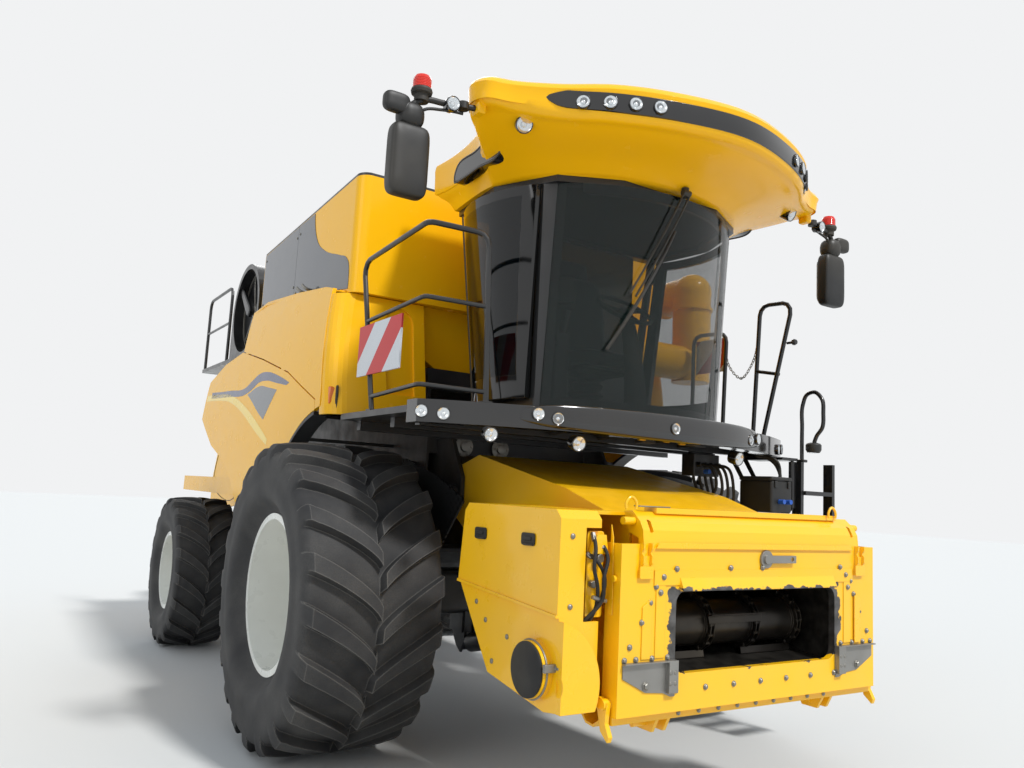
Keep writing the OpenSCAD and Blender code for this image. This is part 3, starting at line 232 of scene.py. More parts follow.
def through(points, count):
    """A smooth curve through points, read at even steps of length: between two points a cubic whose
    end slopes are those of the parabola through each point and its neighbours."""
    p = np.asarray(points, float)
    at = np.concatenate([[0], np.cumsum(np.linalg.norm(np.diff(p, axis=0), axis=1))])
    slope = np.gradient(p, at, axis=0, edge_order=2 if len(p) > 2 else 1)
    t = np.linspace(0, at[-1], count)
    k = np.clip(np.searchsorted(at, t, side="right") - 1, 0, len(p) - 2)
    span = (at[k + 1] - at[k])[:, None]
    u = (t - at[k])[:, None] / span
    return (
        p[k] * (1 + 2 * u) * (1 - u) ** 2 + p[k + 1] * u * u * (3 - 2 * u)
        + span * (slope[k] * u * (1 - u) ** 2 + slope[k + 1] * u * u * (u - 1))
    )


def lugged_tyre(centre, radius, width, seat, half_seat, lugs, lug, lean):
    """Rings across the tyre, each a circle whose columns lean back with the lugs. A point's radius is
    the carcass curve, plus the lug's height where its column lies in a lug: left lugs lie half a pitch
    behind right ones. The height fades down the sidewall. The last ring closes on the first."""
    crown, half = radius - lug, width / 2
    tread = through([  # share of half the width, share of the crown radius, lug height
        (0.00, 1.000, lug), (0.03, 1.000, lug), (0.25, 0.998, lug), (0.55, 0.992, lug * 0.98),
        (0.80, 0.975, lug), (0.925, 0.958, lug * 0.92), (0.965, 0.93, lug * 0.55), (0.975, 0.90, 0.012),
        (0.975, 0.86, 0.008), (0.975, 0.80, 0.0),
    ], 30)
    wall = through([  # distance from the middle, radius
        (0.975 * half, 0.80 * crown), (0.985 * half, 0.74 * crown), (0.965 * half, 0.68 * crown),
        (half_seat + 0.006, seat + 0.034), (half_seat, seat + 0.012), (half_seat, seat),
    ], 12)[1:]
    x = np.concatenate([tread[:, 0] * half, wall[:, 0]])
    r = np.concatenate([tread[:, 1] * crown, wall[:, 1]])
    h = np.concatenate([np.maximum(tread[:, 2], 0), np.zeros(len(wall))])
    columns = np.array([-0.21, -0.17, -0.08, 0.0, 0.08, 0.17, 0.21, 0.25])  # shares of a lug's pitch
    pitches = np.repeat(np.arange(2 * lugs) * 0.5, len(columns))
    top = np.tile(np.abs(columns) < 0.18, 2 * lugs)
    odd = np.repeat(np.arange(2 * lugs) % 2, len(columns))
    out_share = (x / half).clip(0, 1)
    lean_at = lean * out_share ** 0.72
    widening = (0.80 + 0.26 * out_share)[:, None] * np.tile(columns, 2 * lugs)[None, :]
    rows = []
    for sign, mine in ((-1, 0), (1, 1)):
        angle = 2 * np.pi / lugs * (pitches[None, :] + widening - lean_at[:, None])
        rr = r[:, None] + h[:, None] * (top & (odd == mine))[None, :]
        ring = np.stack([sign * x[:, None] + 0 * angle, rr * np.cos(angle), rr * np.sin(angle)], -1)
        rows.append(ring[::-1] if sign < 0 else ring[1:])
    points = np.concatenate(rows)
    m, n = points.shape[:2]
    return points.reshape(-1, 3) + centre, grid(m + 1, n, True) % (m * n)


rubber, tree, shader, place = surface("tyre_rubber")
# carbon-black rubber: matt grey-black, grainy from the mould and the road, with a film of pale dust in
# patches, and made paler along every edge of the lugs
fine = add(tree, "TexNoise", {"Vector": place, "Scale": 140.0, "Detail": 3.0})["Fac"]
broad = add(tree, "TexNoise", {"Vector": place, "Scale": 4.0, "Detail": 5.0})["Fac"]
flat_normal = add(tree, "NewGeometry", {})["Normal"]
round_normal = add(tree, "Bevel", {"Radius": 0.012}, samples=4)[0]
bend = add(tree, "VectorMath", {0: flat_normal, 1: round_normal}, operation="DOT_PRODUCT")["Value"]
# paler along the lugs' edges, where the rounded normal turns away from the flat one
edges = add(tree, "MapRange", {"Value": bend, "From Min": 0.995, "From Max": 0.90, "To Max": 0.5})[0]
film = add(tree, "MapRange", {"Value": broad, "From Min": 0.35, "From Max": 0.7, "To Max": 0.35})[0]
film_grain = add(tree, "Math", {0: film, 1: fine}, operation="MULTIPLY")[0]
dust = add(tree, "Math", {0: film_grain, 1: edges}, operation="ADD")[0]
colour = add(tree, "Mix", {0: dust, 6: linear("#2B2B2C"), 7: linear("#7A7771")}, data_type="RGBA")[2]
grainy = add(tree, "Bump", {"Height": fine, "Strength": 0.2, "Distance": 0.002})[0]
fill(tree, shader, {"Base Color": colour, "Normal": grainy, "Roughness": 0.68, "Specular IOR Level": 0.35})

wheels = {  # distance of the wheel's middle from the machine's, distance behind the front axle, radius
    "front": (1.515, 0.0, 0.985),
    "rear": (1.530, 3.770, 0.745),
}
tyres = {  # width, seat radius, half seat, lugs, lug height, lean
    "front": (0.900, 0.4822, 0.3447, 20, 0.058, 1.05),
    "rear": (0.600, 0.3572, 0.2277, 18, 0.044, 1.0),
}
SIDES = (("right", -1), ("left", 1))
for where, (track, back, radius) in wheels.items():
    for side, sign in SIDES:
        tyre = piece(
            f"lugged_tyre_{where}_{side}",
            [lugged_tyre((sign * track, back, radius), radius, *tyres[where])],
            rubber, f"wheel_{where}_{side}", 28,
        )
        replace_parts(tyre, f"tyre_{where}_{side}")


# Wheels: welded steel rims in cream enamel, each disc held by a ring of zinc-plated wheel nuts round a
# dark cast hub.
def turned(profile, foot, axis, count=28):
    """A profile of radius and height turned about an axis through its foot."""
    axis = np.asarray(axis, float) / np.linalg.norm(axis)
    across = np.cross(axis, np.eye(3)[np.argmin(np.abs(axis))])
    across /= np.linalg.norm(across)
    other = np.cross(axis, across)
    turn = np.linspace(0, 2 * np.pi, count, endpoint=False)
    spoke = np.cos(turn)[:, None] * across + np.sin(turn)[:, None] * other
    r, h = np.asarray(profile, float).T
    points = np.asarray(foot) + h[:, None, None] * axis + r[:, None, None] * spoke
    return points.reshape(-1, 3), grid(len(r), count, True)


def nut(foot, axis, across=0.030, high=0.022):
    """A six-sided nut with a domed top and its washer."""
    r = across / math.sqrt(3)
    return [
        turned([(0, 0), (r * 1.35, 0), (r * 1.35, 0.004), (0, 0.004)], foot, axis, 14),
        turned([(0, 0.003), (r, 0.003), (r, high * 0.8), (r * 0.75, high), (0, high)], foot, axis, 6),
    ]


# rims: cream enamel with dust in patches; nuts and bolts: zinc plating gone dull grey
rim_enamel = enamel("cream_rim_enamel", "#ECECE4", "#9A927F", rough=(0.25, 0.45), coat=0.3, dusty=0.2)
dress(rim_enamel, "rim_front_right", "rim_front_left", "rim_rear_right", "rim_rear_left")
zinc = enamel("zinc_plated_steel", "#8E8C86", rough=(0.3, 0.5), coat=0.0, dusty=0.2, metallic=0.8)
discs = {  # how far the disc lies inside the wheel's middle, radius of the nut circle, nuts, hub radius
    "front": (0.220, 0.187, 10, 0.135),
    "rear": (0.130, 0.128, 8, 0.088),
}
for where, (track, back, radius) in wheels.items():
    inset, nut_circle, count, hub = discs[where]
    for side, sign in SIDES:
        face = sign * (track - inset)
        out = np.array([sign, 0, 0])
        parts = []
        for k in range(count):
            turn = 2 * math.pi * (k + 0.5) / count
            at = (face, back + nut_circle * math.cos(turn), radius + nut_circle * math.sin(turn))
            parts += nut(at, out)
        piece(f"wheel_nuts_{where}_{side}", parts, zinc, f"wheel_{where}_{side}")
        cap = turned(
            [(0, 0), (hub, 0), (hub, 0.05), (hub * 0.9, 0.062), (hub * 0.5, 0.066), (0, 0.068)],
            (face + sign * 0.049, back, radius), out, 40,
        )
        piece(f"hub_cap_{where}_{side}", [cap], dark_enamel_and_painted_shade, f"wheel_{where}_{side}")


# Feeder housing: a welded box of sheet steel in bright yellow, whose inner faces and floor are worn to
# dark bare metal by the crop, as is the paint round its mouth.
def worn(made, share, hex_metal, hex_dark):
    """Bare rubbed metal over a paint: where the share is 1 the paint's colour and gloss give way."""
    tree = made.node_tree
    shader = tree.nodes["Principled BSDF"]
    place = add(tree, "TexCoord", {})["Object"]
    streak = add(tree, "TexNoise", {"Vector": place, "Scale": 14.0, "Detail": 6.0})["Fac"]
    streaks = add(tree, "MapRange", {"Value": streak, "From Min": 0.35, "From Max": 0.65})[0]
    metal = add(tree, "Mix", {0: streaks, 6: linear(hex_dark), 7: linear(hex_metal)}, data_type="RGBA")[2]
    paint = shader.inputs["Base Color"].links[0].from_socket
    gloss = shader.inputs["Roughness"].links[0].from_socket
    fill(tree, shader, {
        "Base Color": add(tree, "Mix", {0: share, 6: paint, 7: metal}, data_type="RGBA")[2],
        "Metallic": add(tree, "Math", {0: share, 1: 0.75}, operation="MULTIPLY")[0],
        "Roughness": add(tree, "Mix", {0: share, 2: gloss, 3: 0.42}, data_type="FLOAT")[0],
    })


def axes(tree):
    """The three object coordinates: sideways distance from the middle, length and height."""
    x, y, z = add(tree, "SeparateXYZ", {0: add(tree, "TexCoord", {})["Object"]})
    return add(tree, "Math", {0: x}, operation="ABSOLUTE")[0], y, z


FEEDER = "#FFC208"
housing_paint = enamel("feeder_enamel_worn_inside", FEEDER, rough=(0.3, 0.5), coat=0.25)
tree = housing_paint.node_tree
aside, _, height = axes(tree)
# the walls' inner faces lie 641 mm from the middle, and the roof plate above 1.465 m stays painted
in_walls = add(tree, "MapRange", {"Value": aside, "From Min": 0.6412, "From Max": 0.6405})[0]
under_roof = add(tree, "MapRange", {"Value": height, "From Min": 1.468, "From Max": 1.462})[0]
inside = add(tree, "Math", {0: in_walls, 1: under_roof}, operation="MULTIPLY")[0]
worn(housing_paint, inside, "#4A4742", "#2A2825")
dress(housing_paint, "feeder_housing")

face_paint = enamel("feeder_enamel_worn_edges", FEEDER, rough=(0.28, 0.45), coat=0.3)
tree = face_paint.node_tree
aside, _, height = axes(tree)
place = add(tree, "TexCoord", {})["Object"]
ragged = add(tree, "TexNoise", {"Vector": place, "Scale": 16.0, "Detail": 4.0})["Fac"]
off_centre = add(tree, "Math", {0: ragged, 1: 0.5}, operation="SUBTRACT")[0]
spread = add(tree, "Math", {0: off_centre, 1: 0.13}, operation="MULTIPLY")[0]
worst = -1.0
for further, nearer in ((aside, 0.652), (height, 1.281), (0.892, height)):
    # how far a point lies past the mouth's side, top or foot, with a ragged line
    past = add(tree, "Math", {0: further, 1: nearer}, operation="SUBTRACT")[0]
    past = add(tree, "Math", {0: past, 1: spread}, operation="ADD")[0]
    worst = add(tree, "Math", {0: worst, 1: past}, operation="MAXIMUM")[0]
at_mouth = add(tree, "MapRange", {"Value": worst, "From Min": 0.003, "From Max": -0.003})[0]
over_sill = add(tree, "MapRange", {"Value": height, "From Min": 0.80, "From Max": 0.86})[0]
rubbed = add(tree, "Math", {0: at_mouth, 1: over_sill}, operation="MULTIPLY")[0]
worn(face_paint, rubbed, "#6B6967", "#454341")
dress(face_paint, "feeder_face")
feeder_enamel = enamel("feeder_enamel", FEEDER, rough=(0.25, 0.4), coat=0.35)
dress(feeder_enamel, "drive_cover")


# Face hardware: hexagon bolts and washers in rows round the mouth, zinc plated, and the rings that a
# header's hooks take hold of, all bolted or welded to the face plate.
def plate(outline, thick, foot, across, up, soft=0.0015):
    """A flat plate: an outline in two directions from its foot, drawn out by its thickness square to
    both. Its four rings are the outline drawn in by the softened edge, the outline, and both again."""
    q = np.asarray(outline, float)
    area = np.sum(q[:, 0] * np.roll(q[:, 1], -1) - np.roll(q[:, 0], -1) * q[:, 1])
    q = q if area > 0 else q[::-1]
    step = np.roll(q, -1, 0) - q
    step /= np.linalg.norm(step, axis=1, keepdims=True)
    square = np.stack([step[:, 1], -step[:, 0]], -1)
    before = np.roll(square, 1, 0)
    corner = (square + before) / np.maximum(1 + np.sum(square * before, 1, keepdims=True), 0.3)
    inner = q - soft * corner
    across, up = (np.asarray(d, float) / np.linalg.norm(d) for d in (across, up))
    out = np.cross(across, up)
    rings = [(inner, 0.0), (q, soft), (q, thick - soft), (inner, thick)]
    points = np.concatenate([
        np.asarray(foot) + o[:, :1] * across + o[:, 1:] * up + h * out for o, h in rings
    ])
    n = len(q)
    return points, grid(4, n, True), [np.arange(n)[::-1], np.arange(3 * n, 4 * n)]


def rounded(width, high, radius, steps=5):
    """The outline of a rectangle about its middle with rounded corners."""
    turn = np.linspace(0, np.pi / 2, steps)
    arc = radius * np.stack([np.cos(turn), np.sin(turn)], -1)
    quarters = [
        arc @ np.array([[math.cos(a), math.sin(a)], [-math.sin(a), math.cos(a)]])
        + np.array(c) * (width / 2 - radius, high / 2 - radius)
        for a, c in ((0, (1, 1)), (math.pi / 2, (-1, 1)), (math.pi, (-1, -1)), (1.5 * math.pi, (1, -1)))
    ]
    return np.concatenate(quarters)


def swept(path, radius, count=12):
    """A round bar or hose: a circle carried along a path and square to it, with flat ends. The circle
    starts from the direction square to the path and to the line that the path strays least along."""
    p = np.asarray(path, float)
    way = np.gradient(p, axis=0)
    way /= np.linalg.norm(way, axis=1, keepdims=True)
    flat = np.linalg.svd(p - p.mean(0))[2][-1]
    side = np.cross(way, flat)
    side /= np.linalg.norm(side, axis=1, keepdims=True)
    other = np.cross(way, side)
    turn = np.linspace(0, 2 * np.pi, count, endpoint=False)
    spoke = side[:, None] * np.cos(turn)[:, None] + other[:, None] * np.sin(turn)[:, None]
    reach = np.broadcast_to(np.asarray(radius, float), len(p))
    rings = p[:, None] + reach[:, None, None] * spoke
    rings = np.concatenate([0 * rings[:1] + p[0], rings, 0 * rings[:1] + p[-1]])
    return rings.reshape(-1, 3), grid(len(p) + 2, count, True)


def bent(points, steps, radius, count):
    """A round bar or hose bent smoothly through a few points."""
    return swept(through(points, steps), radius, count)


def pin(start, end, radius, count):
    """A straight round pin from one point to another."""
    return bent([start, end], 4, radius, count)


LEFT, BACK, UP = np.eye(3)
FRONT = -BACK
FACE_Y = -2.377
bolts = [
    (-0.616, 1.378), (-0.239, 1.381), (0.0, 1.381), (0.65, 1.383), (-0.744, 1.294), (-0.718, 1.267),
    (-0.779, 1.22), (0.75, 1.304), (0.72, 1.27), (0.778, 1.23), (-0.83, 1.13), (0.83, 1.13),
    (-0.90, 1.02), (0.90, 1.02), (-0.70, 1.34), (0.70, 1.34),
]
bolts += [(x, 0.806) for x in np.linspace(-0.60, 0.60, 7)]
bolts += [(s * x, 0.962) for s in (-1, 1) for x in (0.66, 0.76, 0.86, 0.93)]
parts = []
for x, z in bolts:
    on_strip = 0.69 <= abs(x) < 0.74 or z > 1.31
    parts += nut((x, FACE_Y - (0.005 if on_strip else 0.0), z), FRONT, 0.019, 0.012)
ring = [(0, 0), (0.011, 0), (0.011, 0.0004), (0.009, 0.001), (0, 0.001)]
for s in (-1, 1):
    for dx in (0.02, 0.05):
        for dz in (0.0, 0.05):
            parts.append(turned(ring, (s * (0.611 + dx), FACE_Y - 0.030, 0.845 + dz), FRONT, 24))
for s in (-1, 1):
    parts += nut((s * 0.80, FACE_Y - 0.006, 0.84), FRONT, 0.028, 0.016)
for x in np.linspace(-0.55, 0.55, 9):
    parts += nut((x, FACE_Y + 0.030, 0.69), FRONT, 0.016, 0.010)
piece("face_bolts", parts, zinc, "feeder")

# Face strips: folded cover strips, hook plates, pivot pins and lifting eyes of the same bright yellow
# steel, welded round the mouth and on the top beam; a zinc-plated tab lies on the beam.
cover_strip = [(0, 0), (0.055, 0), (0.055, 0.24), (0, 0.28)]
parts = []
for s in (-1, 1):
    parts += [
        plate(cover_strip, 0.006, (s * 0.775, FACE_Y - 0.006, 0.96), (s, 0, 0), UP),
        plate(rounded(0.085, 0.060, 0.008), 0.005, (s * 0.821, FACE_Y - 0.013, 1.362), LEFT, UP),
        pin((s * 0.832, -2.30, 1.60), (s * 0.90, -2.30, 1.60), 0.020, 16),
        pin((s * 0.955, -2.34, 1.33), (s * 0.985, -2.34, 1.33), 0.016, 16),
    ]
top_strip = [(-0.76, 0), (0.76, 0), (0.74, 0.028), (-0.74, 0.028)]
parts.append(plate(top_strip, 0.005, (0, FACE_Y - 0.008, 1.474), LEFT, UP))
parts.append(bent([(x, FACE_Y - 0.001, 1.334) for x in (-0.60, 0, 0.60)], 12, 0.006, 8))
for x in (-0.905, 0.62):
    eye_bar = [(x, 1.655), (x, 1.69), (x + 0.03, 1.715), (x + 0.06, 1.69), (x + 0.06, 1.655)]
    parts.append(bent([(eye_x, -2.33, z) for eye_x, z in eye_bar], 20, 0.007, 10))
piece("face_strips", parts, feeder_enamel, "feeder")
piece(
    "top_beam_tab", [plate(rounded(0.21, 0.05, 0.01), 0.006, (-0.70, -2.285, 1.669), LEFT, BACK)],
    zinc, "feeder",
)

# Side box of the feeder drive: folded sheet with two rubber latches, a rubber lid over the shaft end in
# a clamped ring, and in the slot in front a hydraulic coupling plate with its hoses clipped at both ends.
# Moulded rubber is the dullest black on the machine, and cast grey plastic has a faint sheen.
black_rubber = enamel("moulded_rubber", "#151515", rough=(0.6, 0.75), coat=0.0, dusty=0.15)
grey_plastic = enamel("cast_grey_plastic", "#3A3B3D", rough=(0.4, 0.55), coat=0.1, dusty=0.15)
LID_Y, LID_Z = -2.130, 0.900
parts = []
for y, z in ((-1.585, 1.486), (-2.034, 1.487)):
    strap = [(-1.268, y - 0.045, z - 0.022), (-1.276, y, z - 0.025), (-1.268, y + 0.045, z - 0.022)]
    parts += [
        plate(rounded(0.115, 0.060, 0.014), 0.010, (-1.2595, y, z), FRONT, UP, 0.003),
        plate(rounded(0.070, 0.020, 0.009), 0.008, (-1.2692, y, z + 0.004), FRONT, UP, 0.003),
        bent(strap, 8, 0.006, 8),
    ]
lid = [(0, 0), (0.124, 0), (0.127, 0.003), (0.127, 0.010), (0.120, 0.014), (0.03, 0.016), (0, 0.016)]
parts.append(turned(lid, (-1.2995, LID_Y, LID_Z), -LEFT, 48))
piece("drive_box_rubber", parts, black_rubber, "feeder")

turn = np.linspace(-0.2, 6.0, 60)  # the clamp's ring stays open where its screw draws it together
ring = np.stack([0 * turn - 1.281, LID_Y + 0.133 * np.cos(turn), LID_Z + 0.133 * np.sin(turn)], -1)
lug = [(-0.04, -0.018), (0.05, -0.018), (0.05, 0.018), (-0.04, 0.018)]
parts = [swept(ring, 0.005, 8), plate(lug, 0.02, (-1.27, -2.265, 0.93), LEFT, UP)]
parts += nut((-1.245, -2.285, 0.93), FRONT, 0.016, 0.02)
for y, z in ((-1.74, 0.86), (-1.87, 1.00), (-1.66, 1.05), (-2.02, 0.78), (-1.56, 1.13)):
    parts += nut((-1.2501, y, z), -LEFT, 0.017, 0.008)
for z in (1.20, 1.52):
    parts += nut((-1.19, -2.2905, z), FRONT, 0.017, 0.008)
piece("drive_box_fittings", parts, zinc, "feeder")

bracket = [(-0.05, -0.03), (0.05, -0.03), (0.035, 0.06), (-0.02, 0.06)]
guard = [(0, 0), (0.030, 0), (0.022, 0.36), (0.004, 0.42)]
parts = [
    plate(rounded(0.10, 0.40, 0.015), 0.006, (-1.035, -2.262, 1.345), LEFT, UP),
    plate(bracket, 0.035, (-1.035, -2.270, 1.47), LEFT, UP),
    plate(guard, 0.005, (-0.968, -2.30, 1.16), FRONT, UP),
]
piece("coupling_plate", parts, feeder_enamel, "feeder")
hoses = [
    [(-1.060, -2.275, 1.535), (-1.075, -2.320, 1.470), (-1.092, -2.335, 1.380), (-1.060, -2.325, 1.290),
     (-1.045, -2.300, 1.200), (-1.062, -2.262, 1.120)],
    [(-1.020, -2.275, 1.500), (-1.010, -2.330, 1.430), (-1.040, -2.345, 1.340), (-1.035, -2.330, 1.230),
     (-1.085, -2.290, 1.150), (-1.10, -2.262, 1.118)],
    [(-1.090, -2.275, 1.440), (-1.070, -2.325, 1.410), (-1.015, -2.320, 1.330), (-1.010, -2.300, 1.250),
     (-1.02, -2.262, 1.180)],
]
piece("coupling_hoses", [bent(h, 40, 0.009, 10) for h in hoses], black_rubber, "feeder")
parts = [pin(h[0], (np.array(h[0]) + h[1]) / 2, 0.013, 6) for h in hoses]
parts += [
    pin((-1.085, -2.32, 1.245), (-1.0, -2.315, 1.225), 0.010, 12),
    pin((-1.030, -2.272, 1.42), (-1.030, -2.305, 1.42), 0.022, 6),
    pin((-1.060, -2.272, 1.30), (-1.060, -2.300, 1.30), 0.018, 6),
]
piece("coupling_fittings", parts, zinc, "feeder")

# Feeder chains: four roller chains run round a plain drum and carry staggered slats, toothed along
# their outer edge. All bare dark steel, polished where the crop slides.
dark_steel = enamel(
    "oiled_dark_steel", "#35322F", "#7A705E", rough=(0.28, 0.45), coat=0.0, dusty=0.35, metallic=0.85
)
DRUM = np.array([-2.060, 1.060])
REAR = np.array([-0.690, 1.530])
LINKS = 64


def loop_round(front, rear, big, small, count):
    """An even walk round two pulleys: both arcs and the straight runs between, resampled by length."""
    slope = math.atan2(rear[1] - front[1], rear[0] - front[0])
    first = np.linspace(slope + math.pi / 2, slope + 1.5 * math.pi, 30)
    second = np.linspace(slope - math.pi / 2, slope + math.pi / 2, 16)
    way = np.concatenate([
        front + big * np.stack([np.cos(first), np.sin(first)], -1),
        rear + small * np.stack([np.cos(second), np.sin(second)], -1),
    ])
    way = np.concatenate([way, way[:1]])
    length = np.concatenate([[0], np.cumsum(np.linalg.norm(np.diff(way, axis=0), axis=1))])
    at = np.linspace(0, length[-1], count + 1)
    return np.stack([np.interp(at, length, way[:, k]) for k in (0, 1)], -1)


def many(outline, x_low, x_high, places, forward, outward):
    """One outline repeated at many places of a walk in the plane across x, each drawn out from one x to
    another: corner = place + forward * a + outward * b."""
    flat = places[:, None] + forward[:, None] * outline[:, :1] + outward[:, None] * outline[:, 1:]
    k, n = flat.shape[:2]
    ends = np.stack([
        np.concatenate([np.broadcast_to(np.reshape(x, (-1, 1, 1)), (k, n, 1)), flat], -1)
        for x in (x_low, x_high)
    ], 1)
    one = np.arange(n)
    sides = np.stack([one, (one + 1) % n, (one + 1) % n + n, one + n], -1)
    offset = (np.arange(k) * 2 * n)[:, None, None]
    caps = np.stack([one[::-1], one + n])
    return ends.reshape(-1, 3), (sides[None] + offset).reshape(-1, 4), (caps[None] + offset).reshape(-1, n)


walk = loop_round(DRUM, REAR, 0.137, 0.06, LINKS)
start, end = walk[:-1], walk[1:]
ahead_2d = (end - start) / np.linalg.norm(end - start, axis=1, keepdims=True)
outward = np.stack([ahead_2d[:, 1], -ahead_2d[:, 0]], -1)
middle = (start + end) / 2
pitch = np.linalg.norm(end[0] - start[0])
turn = np.linspace(-np.pi / 2, np.pi / 2, 5)
half_link = np.stack([pitch / 2 + 0.012 * np.cos(turn), 0.014 * np.sin(turn)], -1)
link = np.concatenate([half_link, -half_link])
turn = np.linspace(0, 2 * np.pi, 8, endpoint=False)
roller = np.stack([0.009 * np.cos(turn), 0.009 * np.sin(turn)], -1)
chain_x = (-0.52, -0.175, 0.175, 0.52)
odd = np.arange(LINKS) % 2
parts = []
for x in chain_x:
    for s in (-1, 1):
        near = x + s * np.where(odd, 0.013, 0.018)
        parts.append(many(link, near - 0.0025, near + 0.0025, middle, ahead_2d, outward))
    parts.append(many(roller, x - 0.022, x + 0.022, start, ahead_2d, outward))
parts.append(turned([(0, 0), (0.119, 0), (0.119, 1.12), (0, 1.12)], (-0.56, *DRUM), LEFT, 48))
flanges = [
    (0.118, -0.030), (0.130, -0.028), (0.130, -0.024), (0.124, -0.020), (0.124, 0.020), (0.130, 0.024),
    (0.130, 0.028), (0.118, 0.030),
]
parts += [turned(flanges, (x, *DRUM), LEFT, 48) for x in chain_x]
parts.append(turned([(0, 0), (0.045, 0), (0.045, 1.278), (0, 1.278)], (-0.639, *DRUM), LEFT, 24))
SLATS, STEPS = 8, 61  # slats between two chains, and points along a slat's toothed edge
angle_iron = np.array([
    (-0.022, 0.010), (0.022, 0.010), (0.022, 0.016), (-0.016, 0.016), (-0.016, 0.045), (-0.022, 0.045),
])
corners = len(angle_iron)
teeth = np.where(np.arange(STEPS) % 2, 0.006, 0.0)[:, None] * (angle_iron[:, 1] > 0.04)
a = np.broadcast_to(angle_iron[:, 0], (STEPS, corners))[None, ..., None]
b = (angle_iron[:, 1] + teeth)[None, ..., None]
for column, (x0, x1) in enumerate(zip(chain_x[:-1], chain_x[1:])):
    picked = (np.arange(SLATS) * (LINKS // SLATS) + (0 if column == 1 else 4) + 2) % LINKS
    base, along, out = (walk_part[picked][:, None, None] for walk_part in (middle, ahead_2d, outward))
    flat = base + along * a + out * b
    x_at = np.linspace(x0 - 0.03, x1 + 0.03, STEPS)[None, :, None, None]
    for slat in np.concatenate([np.broadcast_to(x_at, (SLATS, STEPS, corners, 1)), flat], -1):
        caps = [np.arange(corners)[::-1], np.arange((STEPS - 1) * corners, STEPS * corners)]
        parts.append((slat.reshape(-1, 3), grid(STEPS, corners, True), caps))
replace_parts(piece("slatted_chains", parts, dark_steel, "feeder", 40), "feeder_chains")

# Bare steel about the feeder: wear plates of rolled plate that the crop scrapes bright, bolted on, and
# the lift cylinders' rods, ground and hard-chromed to a mirror.
steel = enamel(
    "scraped_steel_plate", "#94928D", "#6A6762", rough=(0.32, 0.5), coat=0.0, dusty=0.7, metallic=0.6
)
dress(steel, "wear_plates")
chrome = enamel("hard_chromed_rod", "#C9CBCD", rough=(0.08, 0.16), coat=0.0, dusty=0.05, metallic=1.0)
dress(chrome, "lift_rods")


# Grain tank: an open steel box with rounded upright corners, yellow in front, with two flush sheets of
# dark glossy enamel screwed on each side behind a swept boundary.
def on_side(part, s):
    """A part on the machine's left as it stands, or mirrored on its right for s = -1."""
    return (part[0] * (s, 1, 1), *part[1:])


# dark blue-grey enamel with the deepest gloss of the large sheets
dark_sheet = enamel("dark_tank_enamel", "#232D3A", rough=(0.12, 0.22), coat=0.5, dusty=0.06)
TANK_SIDE = 1.4503
JOINT = 1.38
front_edge = through([
    (0.145, 3.09), (0.145, 3.20), (0.165, 3.29), (0.215, 3.337), (0.35, 3.383), (0.696, 3.495),
    (0.86, 3.59), (0.955, 3.72), (0.985, 3.81), (0.995, 3.87),
], 40)
front_back = [(JOINT - 0.002, 3.853), (JOINT - 0.002, 3.232), (1.10, 3.206), (0.40, 3.124)]
front_sheet = np.concatenate([front_edge, front_back])
rear_sheet = [(JOINT + 0.002, 3.232), (2.00, 3.286), (2.325, 3.252), (2.325, 3.799), (JOINT + 0.002, 3.853)]
parts = [plate(sheet, 0.003, (TANK_SIDE, 0, 0), BACK, UP, 0.001) for sheet in (front_sheet, rear_sheet)]
parts += [on_side(part, -1) for part in parts]
piece("tank_side_sheets", parts, dark_sheet, "machine")
screws = (
    (1.34, 3.27), (1.34, 3.78), (JOINT + 0.03, 3.33), (JOINT + 0.03, 3.76), (2.29, 3.32), (2.29, 3.74),
)
parts = []
for s in (-1, 1):
    for y, z in screws:
        parts += nut((s * (TANK_SIDE + 0.003), y, z), (s, 0, 0), 0.014, 0.006)
    for y in (0.95, 1.08):
        hook = [(s * 1.455, y, 3.225), (s * 1.50, y, 3.235), (s * 1.52, y + 0.02, 3.26)]
        parts.append(bent(hook, 10, 0.012, 10))
piece("tank_sheet_screws", parts, zinc, "machine")

# Side panels: bulged panels moulded in plastic and enamelled yellow, hinged at the top. Vinyl stripes
# follow the bulge: a blue band that dips and rises, a dark lozenge and a light yellow sweep below it.
SHELL_R, SHELL_Z, SHELL_X = 4.4, 2.3, 2.8


def stripe(lower, upper, side):
    """A film on the panel between two edge curves over (y, z): rows go from edge to edge, and x is the
    bulge's circle at that height, a fraction of a millimetre proud of it."""
    m, n = 9, 60
    low, high = through(lower, n), through(upper, n)
    flat = low + (high - low) * np.linspace(0, 1, m)[:, None, None]
    proud = np.sqrt(SHELL_R ** 2 - (flat[..., 1] - SHELL_Z) ** 2) - SHELL_X
    layers = [
        np.concatenate([side * (proud + h)[..., None], flat], -1).reshape(-1, 3) for h in (0.0009, 0.0003)
    ]
    loop = np.concatenate([
        np.arange(n), n * np.arange(1, m) + n - 1, (m - 1) * n + np.arange(n - 2, -1, -1),
        n * np.arange(m - 2, 0, -1),
    ])
    rim = np.stack([loop, np.roll(loop, -1), np.roll(loop, -1) + m * n, loop + m * n], -1)
    face = grid(m, n)
    return np.concatenate(layers), face, face[:, ::-1] + m * n, rim


